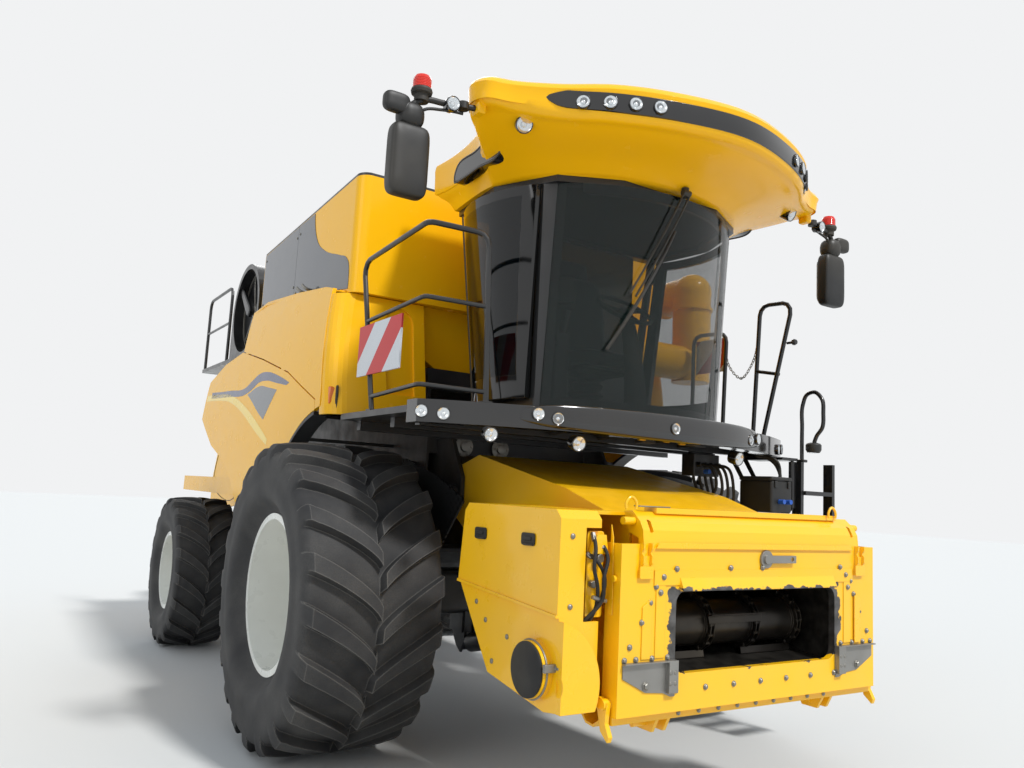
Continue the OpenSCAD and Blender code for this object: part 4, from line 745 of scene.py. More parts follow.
# cast vinyl film: thin, smooth and a little glossier than the panel under it
vinyl_blue = enamel("blue_vinyl_film", "#26355F", rough=(0.2, 0.3), coat=0.4, dusty=0.05)
vinyl_dark = enamel("dark_vinyl_film", "#2E3A44", rough=(0.12, 0.2), coat=0.6, dusty=0.05)
vinyl_light = enamel("light_yellow_vinyl_film", "#FFDA4A", rough=(0.2, 0.3), coat=0.4, dusty=0.02)
stripes = (  # name, lower edge, upper edge, film, slot
    ("band",
     [(3.33, 2.495), (2.60, 2.462), (2.04, 2.448), (1.86, 2.476), (1.68, 2.520), (1.45, 2.520),
      (1.15, 2.475), (0.90, 2.438)],
     [(3.33, 2.555), (2.60, 2.522), (2.05, 2.512), (1.86, 2.560), (1.66, 2.600), (1.42, 2.590),
      (1.15, 2.538), (0.83, 2.452)],
     vinyl_blue, "tank_paint"),
    ("gem",
     [(1.985, 2.440), (1.80, 2.360), (1.62, 2.270), (1.44, 2.195)],
     [(1.90, 2.452), (1.62, 2.488), (1.36, 2.455), (1.13, 2.420)],
     vinyl_dark, "tank_paint"),
    ("sweep",
     [(3.52, 2.475), (3.00, 2.452), (2.62, 2.418), (2.10, 2.285), (1.68, 2.115), (1.33, 1.985)],
     [(3.52, 2.535), (3.00, 2.515), (2.62, 2.485), (2.10, 2.365), (1.68, 2.210), (1.30, 2.030)],
     vinyl_light, "yellow_paint"),
)
for side, sign in SIDES:
    for kind, lower, upper, film, slot in stripes:
        piece(f"stripe_{kind}_{side}", [stripe(lower, upper, sign)], film, f"side_panel_{side}")


# Wheel shields: folded black sheet steel punched with slanting rows of holes, hung inside each front
# wheel from the frame.
def punched(tree, vector, per_metre, share):
    """Rows of round holes in the plane of length and height: 1 on the sheet and 0 in a hole, whose radius
    is a share of the distance between holes."""
    x, y, z = add(tree, "SeparateXYZ", {0: vector})
    flat = add(tree, "CombineXYZ", {0: y, 1: z})[0]
    near = add(
        tree, "TexVoronoi", {"Vector": flat, "Scale": per_metre, "Randomness": 0.0}, voronoi_dimensions="2D"
    )["Distance"]
    return add(tree, "Math", {0: near, 1: share}, operation="GREATER_THAN")[0]


shield_sheet, tree, shader, place = surface("punched_black_sheet")
slanting = add(tree, "Mapping", {"Vector": place, "Rotation": (math.radians(45), 0, 0)})[0]
solid = punched(tree, slanting, 24.0, 0.31)  # holes 26 mm across every 42 mm
aside = axes(tree)[0]
# only the upright sheet is punched, 1.0 m from the middle; its folded edges stay whole
outer = add(tree, "Math", {0: aside, 1: 1.0075}, operation="LESS_THAN")[0]
inner = add(tree, "Math", {0: aside, 1: 0.9925}, operation="GREATER_THAN")[0]
upright = add(tree, "Math", {0: outer, 1: inner}, operation="MULTIPLY")[0]
folded = add(tree, "Math", {0: 1.0, 1: upright}, operation="SUBTRACT")[0]
fill(tree, shader, {
    "Base Color": linear("#0E0F10"), "Roughness": 0.45,
    "Alpha": add(tree, "Math", {0: solid, 1: folded}, operation="MAXIMUM")[0],
})
dress(shield_sheet, "wheel_shields")


# Cab glass: curved tinted safety glass, dark grey-green, glossy and hazy in patches with dust, bonded to
# the frame behind a black ceramic border.
def glass_sheet(name, hex_tint, clear):
    """Tinted glass: part see-through, part dark tint, under a mirror-smooth surface."""
    made, tree, shader, place = surface(name)
    streak = add(tree, "TexNoise", {"Vector": place, "Scale": 5.0, "Detail": 4.0})["Fac"]
    haze = add(tree, "MapRange", {
        "Value": streak, "From Min": 0.45, "From Max": 0.8, "To Min": 0.02, "To Max": 0.12,
    })[0]
    fill(tree, shader, {"Base Color": linear(hex_tint), "Roughness": haze, "Alpha": 1 - clear})
    return made


# the windscreen lets half the light through, the door most of it, and the windows behind hardly any
dress(glass_sheet("tinted_windscreen_glass", "#0C1A17", 0.52), "windscreen")
dress(glass_sheet("tinted_door_glass", "#2A4442", 0.86), "door_glass")
dress(glass_sheet("dark_tinted_glass", "#080D10", 0.14), "side_glass", "rear_window")
black_border = enamel("black_glass_border", "#08090A", rough=(0.04, 0.1), coat=0.3, dusty=0.02)
dress(black_border, "side_frame", "cab_door")

# Roof lining: a flat panel covered in dark felt that gives back no gloss at all, clipped under the roof
# over the driver.
lining = enamel("felted_roof_lining", "#17181A", rough=(0.85, 0.95), coat=0.0, dusty=0.05)
half = [(0.375, -1.53), (0.68, -1.36), (0.85, -1.0), (0.79, -0.53)]
outline = [(-x, y) for x, y in half[::-1]] + half
panel = plate(outline, 0.012, (0, 0, 3.624), LEFT, BACK, 0.003)
piece("roof_lining", [panel], lining, "machine")


# Driver's seat: foam pads covered in woven cloth on a moulded black shell, over a rubber bellows with the
# suspension in it that is bolted to the cab floor.
def pillow(centre, size, crown, tilt_deg=0.0):
    """A crowned closed form: a rounded box swollen between its corners. Each point of a sphere's grid is
    raised to a small power in each direction, stretched to size, and its faces are pushed out by the
    crown times the product of how near it is to the middle in the other two directions."""
    around, down = np.linspace(0, 2 * np.pi, 72, endpoint=False), np.linspace(0, np.pi, 37)
    u, v = np.meshgrid(around, down, indexing="xy")
    ball = np.stack([np.sin(v) * np.cos(u), np.sin(v) * np.sin(u), np.cos(v)], -1)
    boxy = np.sign(ball) * np.abs(ball) ** 0.32
    boxy[0], boxy[-1] = (0, 0, 1), (0, 0, -1)
    near = 1 - boxy ** 2
    swell = near[..., [1, 0, 0]] * near[..., [2, 2, 1]]
    x, y, z = np.moveaxis(boxy * np.asarray(size) / 2 + boxy * swell * crown, -1, 0)
    a = math.radians(tilt_deg)
    leant = np.stack([x, y * math.cos(a) - z * math.sin(a), y * math.sin(a) + z * math.cos(a)], -1)
    return leant.reshape(-1, 3) + centre, grid(37, 72, True)


cloth, tree, shader, place = surface("woven_seat_cloth")
# hard-wearing woven cloth: charcoal with a two-way thread, drawn at 4 mm, coarser than it is, to show
threads = [
    add(tree, "TexWave", {"Vector": place, "Scale": 80.0}, wave_type="BANDS", bands_direction=way)["Fac"]
    for way in "XZ"
]
weave = add(tree, "Math", {0: threads[0], 1: threads[1]}, operation="MULTIPLY")[0]
colour = add(tree, "Mix", {0: weave, 6: linear("#1D1E20"), 7: linear("#45464A")}, data_type="RGBA")[2]
raised = add(tree, "Bump", {"Height": weave, "Strength": 0.3, "Distance": 0.002})[0]
fill(tree, shader, {"Base Color": colour, "Normal": raised, "Roughness": 0.9, "Sheen Weight": 0.3})
for name, part in (
    ("seat_cushion", pillow((0, -0.85, 2.64), (0.50, 0.44, 0.11), 0.02)),
    ("seat_back", pillow((0, -0.625, 2.99), (0.48, 0.10, 0.58), 0.02, -8)),
    ("seat_headrest", pillow((0, -0.555, 3.34), (0.26, 0.08, 0.15), 0.012, -8)),
):
    pad = piece(name, [part], cloth, "machine", 80)
bellows = [0.13 - 0.05 * math.sin(k * 1.9) ** 2 for k in range(12)]
shell = [
    plate(rounded(0.46, 0.40, 0.05), 0.03, (0, -0.85, 2.555), LEFT, BACK, 0.006),
    plate(rounded(0.44, 0.60, 0.08), 0.02, (0, -0.560, 3.00), LEFT, (0, 0.139, 0.99), 0.006),
    bent([(0, -0.80, 2.285), (0, -0.80, 2.42), (0, -0.82, 2.56)], len(bellows), bellows, 24),
]
shell += [pin((s * 0.07, -0.60, 3.26), (s * 0.07, -0.575, 3.32), 0.007, 8) for s in (-1, 1)]
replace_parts(piece("seat_frame", shell, black_rubber, "machine"), "seat")

# Steering column: a moulded black cover that narrows upwards from the floor, and a tilted wheel with a
# plastic rim on three spokes and a round pad on its hub.
WHEEL_Y, WHEEL_Z, WHEEL_TILT = -1.19, 2.96, math.radians(35)
hub = np.array([0, WHEEL_Y, 2.94])


def on_wheel(turn, r):
    """A point of the tilted steering wheel's plane at an angle and a radius."""
    x, y = r * np.cos(turn), r * np.sin(turn)
    return np.stack([x, WHEEL_Y + y * math.cos(WHEEL_TILT), WHEEL_Z + y * math.sin(WHEEL_TILT)], -1)


parts = [swept(on_wheel(np.linspace(0, 2 * np.pi, 73), 0.19), 0.015, 14)]
for turn in (0.2, math.pi - 0.2, -math.pi / 2):
    end = on_wheel(turn, 0.185)
    parts.append(bent([hub, (hub + end) / 2 + (0, 0, 0.004), end], 10, 0.012, 10))
cap = [(0, -0.03), (0.05, -0.03), (0.055, 0.0), (0.045, 0.02), (0, 0.025)]
parts.append(turned(cap, hub, (0, -math.sin(WHEEL_TILT), math.cos(WHEEL_TILT)), 32))
column = [(0, -1.33, 2.285), (0, -1.31, 2.50), (0, -1.26, 2.75), (0, -1.20, 2.93)]
parts.append(bent(column, 24, np.linspace(0.075, 0.045, 24), 20))
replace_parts(piece("steering_column", parts, black_rubber, "machine"), "console")

# Armrest and monitor: moulded grey housings beside the seat, with the drive stick, the monitor's post
# and its screen pane in gloss-black plastic.
monitor_way, monitor_up = (0.85, -0.52, 0), (0.1, 0.16, 0.98)
parts = [
    plate(rounded(0.13, 0.36, 0.03), 0.50, (-0.355, -0.82, 2.281), LEFT, BACK, 0.01),
    plate(rounded(0.26, 0.17, 0.02), 0.03, (-0.50, -1.08, 3.02), monitor_way, monitor_up, 0.005),
]
piece("armrest_console", parts, grey_plastic, "machine")
stick = [(-0.355, -0.98, 2.78), (-0.355, -1.0, 2.86), (-0.35, -1.01, 2.93)]
post = [(-0.40, -0.98, 2.70), (-0.47, -1.03, 2.80), (-0.50, -1.06, 3.0)]
parts = [
    bent(stick, 12, np.linspace(0.022, 0.03, 12), 14),
    bent(post, 14, 0.015, 10),
    plate(rounded(0.22, 0.13, 0.006), 0.002, (-0.4925, -1.0955, 3.012), monitor_way, monitor_up, 0.0005),
]
piece("stick_and_screen", parts, gloss_black, "machine")

# Cab roof: one big vacuum-formed moulding in yellow, sweeping out over the windscreen into two wings
# that carry the mirror arms, with a gloss-black lamp strip let into its front edge.
ROOF_TOP = 4.0
rim_half = np.array([  # lip x, lip y, root x, root y above the glass, lift of the underside
    (0, -2.250, 0, -1.700, 0), (0.430, -2.170, 0.300, -1.680, 0), (0.800, -2.015, 0.560, -1.590, 0),
    (1.074, -1.810, 0.740, -1.450, 0.02), (1.290, -1.690, 0.850, -1.320, 0.05),
    (1.430, -1.640, 0.900, -1.230, 0.07), (1.465, -1.560, 0.930, -1.150, 0.07),
    (1.440, -1.470, 0.960, -1.050, 0.07), (1.250, -1.260, 0.975, -0.980, 0.05),
    (1.110, -1.060, 0.975, -0.850, 0.02), (1.050, -0.850, 0.960, -0.700, 0),
    (1.020, -0.260, 0.925, -0.420, 0),
])
rim = through(np.concatenate([rim_half[:0:-1] * (-1, 1, -1, 1, 1), rim_half]), 241)
layer = through([  # height, share of the way from root to lip
    (3.6403, 0.0), (3.680, 0.15), (3.770, 0.80), (3.800, 0.955), (3.860, 0.972), (3.925, 0.985),
    (3.945, 1.0), (3.975, 0.97), (3.992, 0.80), (4.000, 0.50),
], 46)


def on_roof(station, height, share, proud=0.0):
    """A point of the moulding: the share of the way from the root to the lip of the rim's station, a
    little further out if proud, and the underside lifted towards the wings."""
    lip, root, lift = station[..., 0:2], station[..., 2:4], station[..., 4]
    out = (lip - root) / np.linalg.norm(lip - root, axis=-1, keepdims=True)
    flat = root + (lip - root) * np.asarray(share)[..., None] + out * np.asarray(proud)[..., None]
    z = height + np.where(height < 3.85, lift * share, 0) * np.clip((3.85 - height) / 0.03, 0, 1)
    return np.stack([flat[..., 0], flat[..., 1], np.minimum(z, ROOF_TOP)], -1)


rings = on_roof(rim[None], layer[:, :1], layer[:, 1:])
m, n = rings.shape[:2]
caps = [np.arange(n)[::-1], np.arange((m - 1) * n, m * n)]
parts = [(rings.reshape(-1, 3), grid(m, n, True), caps)]
for s in (-1, 1):
    parts.append(plate(rounded(0.055, 0.08, 0.012), 0.08, (s * 1.4025, -1.54, 3.79), LEFT, BACK, 0.008))
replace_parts(piece("roof_moulding", parts, yellow_enamel, "machine", 38), "cab_roof")

# Intake pods for the cab's air: gloss-black mouldings screwed along the roof's sides, each with a frame
# of grey plastic round its grille.
pod = through([
    (-0.74, 3.705), (-0.735, 3.75), (-0.76, 3.800), (-1.00, 3.838), (-1.26, 3.870), (-1.31, 3.83),
    (-1.30, 3.75), (-1.02, 3.715), (-0.76, 3.70),
], 60)[:-1]
slab = plate(pod, 0.085, (1.025, 0, 0), BACK, UP, 0.010)
lip = np.concatenate([pod, pod[:1]])
frame_bar = swept(np.stack([0 * lip[:, 0] + 1.108, lip[:, 0], lip[:, 1]], -1), 0.006, 8)
piece("intake_pods", [on_side(slab, s) for s in (-1, 1)], gloss_black, "machine")
piece("intake_frames", [on_side(frame_bar, s) for s in (-1, 1)], grey_plastic, "machine")

# Lamp strip: a leaf-shaped cover moulded in gloss-black plastic, pointed at both ends and let into the
# roof's front edge. It bulges a little over the yellow moulding.
LAMP_Z = 3.868


def rim_at(x):
    """The roof rim's station at a distance to the left of the middle, along its front."""
    front = rim[60:181]
    return np.stack([np.interp(x, front[:, 0], front[:, k]) for k in range(5)], -1)


def share_at(height):
    """The moulding's share of the way from root to lip at a height."""
    return np.interp(height, layer[:, 0], layer[:, 1])


turn = np.linspace(-1, 1, 161)
taper = np.clip((1 - np.abs(turn)) / 0.09, 0, 1) ** 0.6
z_mid = LAMP_Z + 0.030 * np.abs(turn) ** 6
bulge = ((-1, 0.001), (-0.94, 0.008), (-0.5, 0.011), (0, 0.012), (0.5, 0.011), (0.94, 0.008), (1, 0.001))
rows = []
for q, proud in bulge:
    z = z_mid + q * 0.054 * taper
    rows.append(on_roof(rim_at(turn * 1.12), z, share_at(z), proud * taper))
strip = (np.stack(rows).reshape(-1, 3), grid(len(rows), len(turn)))
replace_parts(piece("roof_lamp_strip", [strip], gloss_black, "machine", 50), "roof_lamps")

# Bumper moulding under the windscreen: a crescent of gloss-black moulded plastic that swells from the
# bumper's front and is clipped over it.
BUMPER_R, BUMPER_Y = 2.929, 1.260
SWEEP = 0.345  # half the angle that it spans round the bumper's centre
angle = np.linspace(-SWEEP, SWEEP, 121)
fullness = np.clip(1 - (np.abs(angle) / SWEEP) ** 8, 0, 1)[None]
turn = np.linspace(-np.pi / 2, np.pi / 2, 17)[:, None]
r = BUMPER_R + 0.001 + 0.036 * fullness * np.maximum(np.cos(turn), 0) ** 0.35
half_height = (0.030 + 0.048 * fullness) * (1 + 0.12 * np.cos(angle * 9)[None] * (turn < 0))
z = 2.143 + 0.004 * np.cos(3 * angle)[None] + half_height * np.sin(turn)
crescent = np.stack([r * np.sin(angle), BUMPER_Y - r * np.cos(angle), z], -1).reshape(-1, 3)
piece("bumper_moulding", [(crescent, grid(17, 121))], gloss_black, "machine", 60)

# Lamps: a black bezel, a bowl with a small inner reflector, and a domed lens of clear acrylic, clipped
# into the roof strip and the bumper or held by a bucket under the wings and the platform. The bowl is
# plastic with aluminium evaporated on it, the brightest metal on the machine.
lens_glass = glass_sheet("clear_lamp_lens", "#E8ECEE", 0.80)
bright_bowl = enamel(
    "aluminised_reflector", "#DFE2E4", rough=(0.05, 0.12), coat=0.0, dusty=0.0, metallic=1.0
)
bezels, bowls, domes = [], [], []


def round_lamp(foot, out, r, deep=0.016, bucket=0.0):
    """The three turned parts of a lamp of radius r whose front stands a little out from its foot."""
    bezels.append(turned([
        (0, -bucket), (r * 0.9, -bucket), (r * 1.04, 0), (r * 1.06, deep * 0.6), (r, deep),
        (r * 0.9, deep * 0.9), (r * 0.9, 0.0015),
    ], foot, out, 36))
    bowls.append(turned([
        (r * 0.9, deep * 0.8), (r * 0.75, deep * 0.45), (r * 0.5, 0.004), (r * 0.34, 0.0025),
        (r * 0.30, deep * 0.55), (r * 0.18, deep * 0.75), (0, deep * 0.8),
    ], foot, out, 36))
    domes.append(turned([
        (r * 0.91, deep * 0.85), (r * 0.8, deep * 0.98), (r * 0.4, deep * 1.12), (0, deep * 1.16),
    ], foot, out, 36))


for x, deg in ((0.575, 22.7), (0.707, 22.7), (0.830, 36.8), (0.950, 36.8)):
    for s in (-1, 1):
        spot = on_roof(rim_at(s * x), LAMP_Z, share_at(LAMP_Z), 0.008)
        a = math.radians(deg)
        round_lamp(spot, (s * math.sin(a), -math.cos(a), 0.02), 0.040)
for x, z, proud in (
    (0, 2.141, 0.030), (0.790, 2.135, 0.022), (0.901, 2.153, 0.022), (1.390, 2.121, 0.0),
    (1.497, 2.130, 0.0),
):
    a, r = math.asin(x / BUMPER_R), BUMPER_R + proud
    for s in (-1, 1) if x else (1,):
        spot = (s * r * math.sin(a), BUMPER_Y - r * math.cos(a), z)
        round_lamp(spot, (s * math.sin(a), -math.cos(a), 0), 0.037)
for s in (-1, 1):
    round_lamp((s * 1.147, -1.612, 3.785), (s * 0.25, -0.85, -0.45), 0.050, 0.02, 0.06)
    round_lamp((s * 1.575, -1.545, 3.800), (s * 0.1, -1, -0.1), 0.040, 0.02, 0.05)
    round_lamp((s * 0.66, -1.600, 2.005), (s * 0.1, -0.95, -0.2), 0.045, 0.02, 0.05)
round_lamp((-1.22, -1.55, 2.014), (-0.2, -0.95, -0.2), 0.040, 0.02, 0.05)
piece("lamp_bezels", bezels, gloss_black, "machine")
piece("lamp_reflectors", bowls, bright_bowl, "machine")
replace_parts(piece("lamp_lenses", domes, lens_glass, "machine"), "front_lamps")

# Mirrors and beacons: housings moulded in grained black plastic on a bent steel arm that clamps to the
# roof's wing, glass facing back, and on each arm a ribbed red beacon lens in a rubber cup.
textured = enamel("grained_black_plastic", "#131415", rough=(0.42, 0.55), coat=0.0, dusty=0.08)


def rounded_box(centre, size, power_round, power_up):
    """A superellipsoid: a sphere's grid whose sines and cosines are raised to powers that square its
    plan and its uprights, stretched to size."""
    around, up = np.linspace(0, 2 * np.pi, 56, endpoint=False), np.linspace(-np.pi / 2, np.pi / 2, 33)
    u, v = np.meshgrid(around, up, indexing="xy")
    cu, su, cv, sv = np.cos(u), np.sin(u), np.cos(v), np.sin(v)
    cu, su = np.sign(cu) * np.abs(cu) ** power_round, np.sign(su) * np.abs(su) ** power_round
    cv, sv = np.sign(cv) * np.abs(cv) ** power_up, np.sign(sv) * np.abs(sv) ** power_up
    cv[[0, -1]] = 0
    points = np.stack([cv * cu, sv, cv * su], -1) * np.asarray(size) / 2
    return points.reshape(-1, 3) + centre, grid(33, 56, True)


def ribbed_lens(name, hex_low, hex_high, scale, direction, rough):
    """Transparent coloured acrylic: deep colour, glossy, lighter where light comes through its ribs. A rib
    comes every 314 mm / scale, the length of the wave texture's period."""
    made, tree, shader, place = surface(name)
    rib = add(
        tree, "TexWave", {"Vector": place, "Scale": scale}, wave_type="BANDS", bands_direction=direction
    )["Fac"]
    colour = add(tree, "Mix", {0: rib, 6: linear(hex_low), 7: linear(hex_high)}, data_type="RGBA")[2]
    fill(tree, shader, {"Base Color": colour, "Roughness": rough})
    return made


cup = [
    (0, -0.055), (0.040, -0.055), (0.040, -0.02), (0.056, -0.012), (0.060, 0.004), (0.056, 0.016),
    (0.050, 0.018), (0, 0.018),
]
ribs = [(0.0495 + 0.0014 * (k % 2), 0.018 + 0.0045 * k) for k in range(12)]
beacon = [(0, 0.018), (0.050, 0.018), *ribs, (0.047, 0.078), (0.040, 0.090), (0.022, 0.0945), (0, 0.095)]
arm = np.array([
    (1.432, -1.540, 3.821), (1.60, -1.515, 3.806), (1.74, -1.497, 3.790), (1.785, -1.488, 3.755),
    (1.79, -1.482, 3.60),
])
cable = np.array([(1.50, -1.535, 3.770), (1.62, -1.512, 3.765), (1.72, -1.50, 3.74), (1.76, -1.49, 3.70)])
shells, glasses, cups, lenses = [], [], [], []
for s in (-1, 1):
    shells += [
        bent(arm * (s, 1, 1), 40, 0.017, 14),
        bent(cable * (s, 1, 1), 20, 0.009, 10),
        pin((s * 1.50, -1.532, 3.795), (s * 1.50, -1.532, 3.835), 0.032, 20),
        pin((s * 1.575, -1.515, 3.805), (s * 1.575, -1.545, 3.80), 0.014, 12),
        rounded_box((s * 1.79, -1.480, 3.435), (0.225, 0.115, 0.40), 0.30, 0.45),
        rounded_box((s * 1.79, -1.475, 3.690), (0.150, 0.135, 0.145), 0.75, 0.75),
        rounded_box((s * 1.885, -1.500, 3.730), (0.150, 0.07, 0.110), 0.55, 0.6),
        pin((s * 1.79, -1.48, 3.59), (s * 1.79, -1.48, 3.66), 0.026, 16),
        pin((s * 1.835, -1.49, 3.71), (s * 1.86, -1.50, 3.72), 0.018, 12),
    ]
    glasses += [
        plate(rounded(0.185, 0.35, 0.05), 0.003, (s * 1.79, -1.4235, 3.435), -LEFT, UP, 0.001),
        plate(rounded(0.115, 0.078, 0.03), 0.003, (s * 1.885, -1.467, 3.730), -LEFT, UP, 0.001),
    ]
    foot = (s * 1.740, -1.495, 3.835)
    cups.append(turned(cup, foot, UP, 36))
    lenses.append(turned(beacon, foot, UP, 40))
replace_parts(piece("mirror_housings", shells, textured, "machine", 50), "mirrors")
# silvered glass: a plain mirror with a trace of dust
silvered = enamel(
    "silvered_mirror_glass", "#D5DADC", rough=(0.02, 0.04), coat=0.0, dusty=0.03, metallic=1.0
)
piece("mirror_glasses", glasses, silvered, "machine")
piece("beacon_cups", cups, black_rubber, "machine")
beacon_red = ribbed_lens("red_beacon_lens", "#B31109", "#E0341F", 36.0, "Z", 0.12)
tree = beacon_red.node_tree
fill(tree, tree.nodes["Principled BSDF"], {"Emission Color": linear("#C01A0E"), "Emission Strength": 0.12})
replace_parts(piece("beacon_lenses", lenses, beacon_red, "machine"), "beacons")

# Wiper: a pantograph of two flat steel arms with a long rubber blade, parked slantwise on the screen and
# driven from a spindle over the glass.
arm = np.array([(0.0, -1.745, 3.61), (-0.16, -1.715, 3.28), (-0.34, -1.655, 2.92)])
parts = [
    bent(arm + (0.028, -0.004, 0.0), 24, 0.0065, 8),
    bent(arm + (-0.018, -0.004, 0.01), 24, 0.0065, 8),
    bent([(-0.05, -1.705, 3.37), (-0.25, -1.682, 2.98), (-0.47, -1.595, 2.58)], 30, 0.010, 8),
    pin((0.03, -1.745, 3.62), (-0.03, -1.745, 3.62), 0.020, 12),
    pin((0, -1.735, 3.595), (0, -1.735, 3.655), 0.024, 16),
]
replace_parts(piece("wiper_arms", parts, textured, "machine"), "wiper")

# Hazard plates: aluminium sheets with a retroreflective film in slanting red and white bands 170 mm wide,
# bolted to the rails.
hazard, tree, shader, place = surface("retroreflective_film")
BANDS, BANDS_START = 0.342, 40.716  # metres of a red and a white band across the slant, and their start
_, along, height = axes(tree)
rise = add(tree, "Math", {0: along, 1: height}, operation="ADD")[0]
slant = add(tree, "Math", {0: rise, 1: 1 / math.sqrt(2) / BANDS}, operation="MULTIPLY")[0]
counted = add(tree, "Math", {0: slant, 1: BANDS_START}, operation="ADD")[0]
share = add(tree, "Math", {0: counted}, operation="FRACT")[0]
is_red = add(tree, "Math", {0: share, 1: 0.5}, operation="LESS_THAN")[0]
cells = add(tree, "TexVoronoi", {"Vector": place, "Scale": 160.0, "Randomness": 0.1})["Distance"]
prisms = add(tree, "MapRange", {"Value": cells, "From Min": 0.3, "From Max": 0.7})[0]
colour = add(tree, "Mix", {0: is_red, 6: linear("#DDE0E3"), 7: linear("#D01C22")}, data_type="RGBA")[2]
grain = add(
    tree, "Mix", {0: prisms, 6: colour, 7: linear("#C9C9C9")}, data_type="RGBA", blend_type="MULTIPLY"
)[2]
fill(tree, shader, {"Base Color": grain, "Roughness": 0.35})
dress(hazard, "hazard_plates")

# Platform edge: amber marker lamps, each lens clipped on a black base that a steel bracket holds to the
# rail's post.
amber = ribbed_lens("amber_lamp_lens", "#D9540A", "#F58A24", 60.0, "Z", 0.15)
lens = plate(rounded(0.075, 0.125, 0.018), 0.04, (1.535, 0.035, 2.30), BACK, UP, 0.006)
bracket = plate(rounded(0.030, 0.20, 0.006), 0.006, (1.528, -0.02, 2.27), BACK, UP, 0.001)
base = plate(rounded(0.085, 0.135, 0.018), 0.008, (1.526, 0.035, 2.30), BACK, UP, 0.002)
brackets = []
for s in (-1, 1):
    brackets += [on_side(bracket, s), on_side(base, s)]
    brackets.append(bent([(s * 1.530, -0.02, 2.18), (s * 1.530, -0.02, 2.36)], 6, 0.010, 10))
piece("amber_lenses", [on_side(lens, s) for s in (-1, 1)], amber, "machine")
piece("amber_brackets", brackets, textured, "machine")

# Under the platform: the pipes, valves and looms that run across below the cab, rubber and painted steel,
# all clipped at both ends.
pipes = []
for k in range(5):
    pipes.append([
        (-0.74, -0.42 - 0.05 * k, 2.135 - 0.004 * k), (-0.30, -0.55 - 0.05 * k, 2.120 - 0.004 * k),
        (0.25, -0.60 - 0.04 * k, 2.110 - 0.004 * k), (0.74, -0.50 - 0.05 * k, 2.125 - 0.004 * k),
    ])
for x in (-0.55, -0.15, 0.22, 0.58):
    pipes.append([
        (x, -1.46, 2.17), (x + 0.04, -1.40, 2.12), (x + 0.09, -1.15, 2.10), (x + 0.02, -0.80, 2.09),
        (x, -0.5, 2.13),
    ])
pipes += [
    [(-0.62, -1.52, 2.15), (-0.30, -1.58, 2.115), (0.10, -1.585, 2.110), (0.62, -1.52, 2.14)],
    [(-0.58, -1.50, 2.12), (-0.25, -1.54, 2.090), (0.15, -1.55, 2.085), (0.58, -1.50, 2.11)],
]
piece("pipes_under_cab", [bent(p, 40, 0.011, 10) for p in pipes], black_rubber, "machine")
parts = []
for x, y, z in (
    (-0.32, -1.45, 2.13), (0.36, -1.46, 2.12), (-0.02, -1.50, 2.13), (0.12, -1.30, 2.12),
    (-0.60, -1.25, 2.14), (0.60, -1.28, 2.13),
):
    parts.append(plate(rounded(0.11, 0.09, 0.008), 0.085, (x, y, z - 0.05), LEFT, BACK, 0.003))
    for dx in (-0.03, 0.03):
        parts.append(pin((x + dx, y - 0.04, z - 0.01), (x + dx, y - 0.08, z - 0.02), 0.014, 6))
piece("valve_blocks", parts, dark_enamel_and_painted_shade, "machine")
# fittings: zinc plating with a yellow passivated film, dulled by oil and dust
yellow_zinc = enamel(
    "yellow_zinc_fittings", "#A58A3A", "#6B5A34", rough=(0.3, 0.45), coat=0.0, dusty=0.3, metallic=0.9
)
fittings = (
    (-0.28, -1.56, 2.09), (-0.18, -1.575, 2.075), (0.02, -1.58, 2.08), (0.16, -1.57, 2.075),
    (0.30, -1.56, 2.09), (0.44, -1.54, 2.10),
)
parts = [pin((x, y, z), (x + 0.05, y, z), 0.017, 6) for x, y, z in fittings]
piece("hose_fittings", parts, yellow_zinc, "machine")

# Bearing flanges: two pressed steel flanges, zinc plated, each held by six bolts on the wall over the
# feeder.
FLANGE_Z = 2.03
flange = [(0, 0), (0.075, 0), (0.075, 0.008), (0.040, 0.012), (0.036, 0.03), (0.022, 0.032), (0, 0.032)]
parts = []
for x in (-0.48, -0.16):
    parts.append(turned(flange, (x, 0.041, FLANGE_Z), FRONT, 32))
    for k in range(6):
        a = k * math.pi / 3
        parts += nut((x + 0.060 * math.cos(a), 0.033, FLANGE_Z + 0.060 * math.sin(a)), FRONT, 0.014, 0.008)
piece("bearing_flanges", parts, zinc, "machine")

# Left-hand corner: a grab handle bent from steel tube, enamelled black and welded to the ladder, that
# carries a work lamp with a plastic cup at its end.
HANDLE = 1.618
handle = [
    (-1.36, 2.035), (-1.36, 2.30), (-1.365, 2.47), (-1.40, 2.545), (-1.47, 2.560), (-1.535, 2.50),
    (-1.545, 2.40), (-1.535, 2.29), (-1.49, 2.235), (-1.462, 2.16),
]
parts = [
    bent([(HANDLE, y, z) for y, z in handle], 70, 0.015, 14),
    plate(rounded(0.05, 0.07, 0.01), 0.02, (HANDLE, -1.36, 2.041), LEFT, BACK, 0.003),
]
piece("grab_handle", parts, black_enamel, "ladder")
cup = [(0, 0), (0.044, 0), (0.056, 0.020), (0.056, 0.056), (0.048, 0.066), (0.024, 0.074), (0, 0.075)]
glass = [(0, -0.004), (0.034, -0.003), (0.041, 0.0005)]
parts = [turned(cup, (HANDLE, -1.462, 2.112), UP, 36)]
piece("corner_work_lamp", parts, textured, "ladder")
parts = [turned(glass, (HANDLE, -1.462, 2.111), UP, 36)]
piece("corner_lamp_glass", parts, bright_bowl, "ladder")

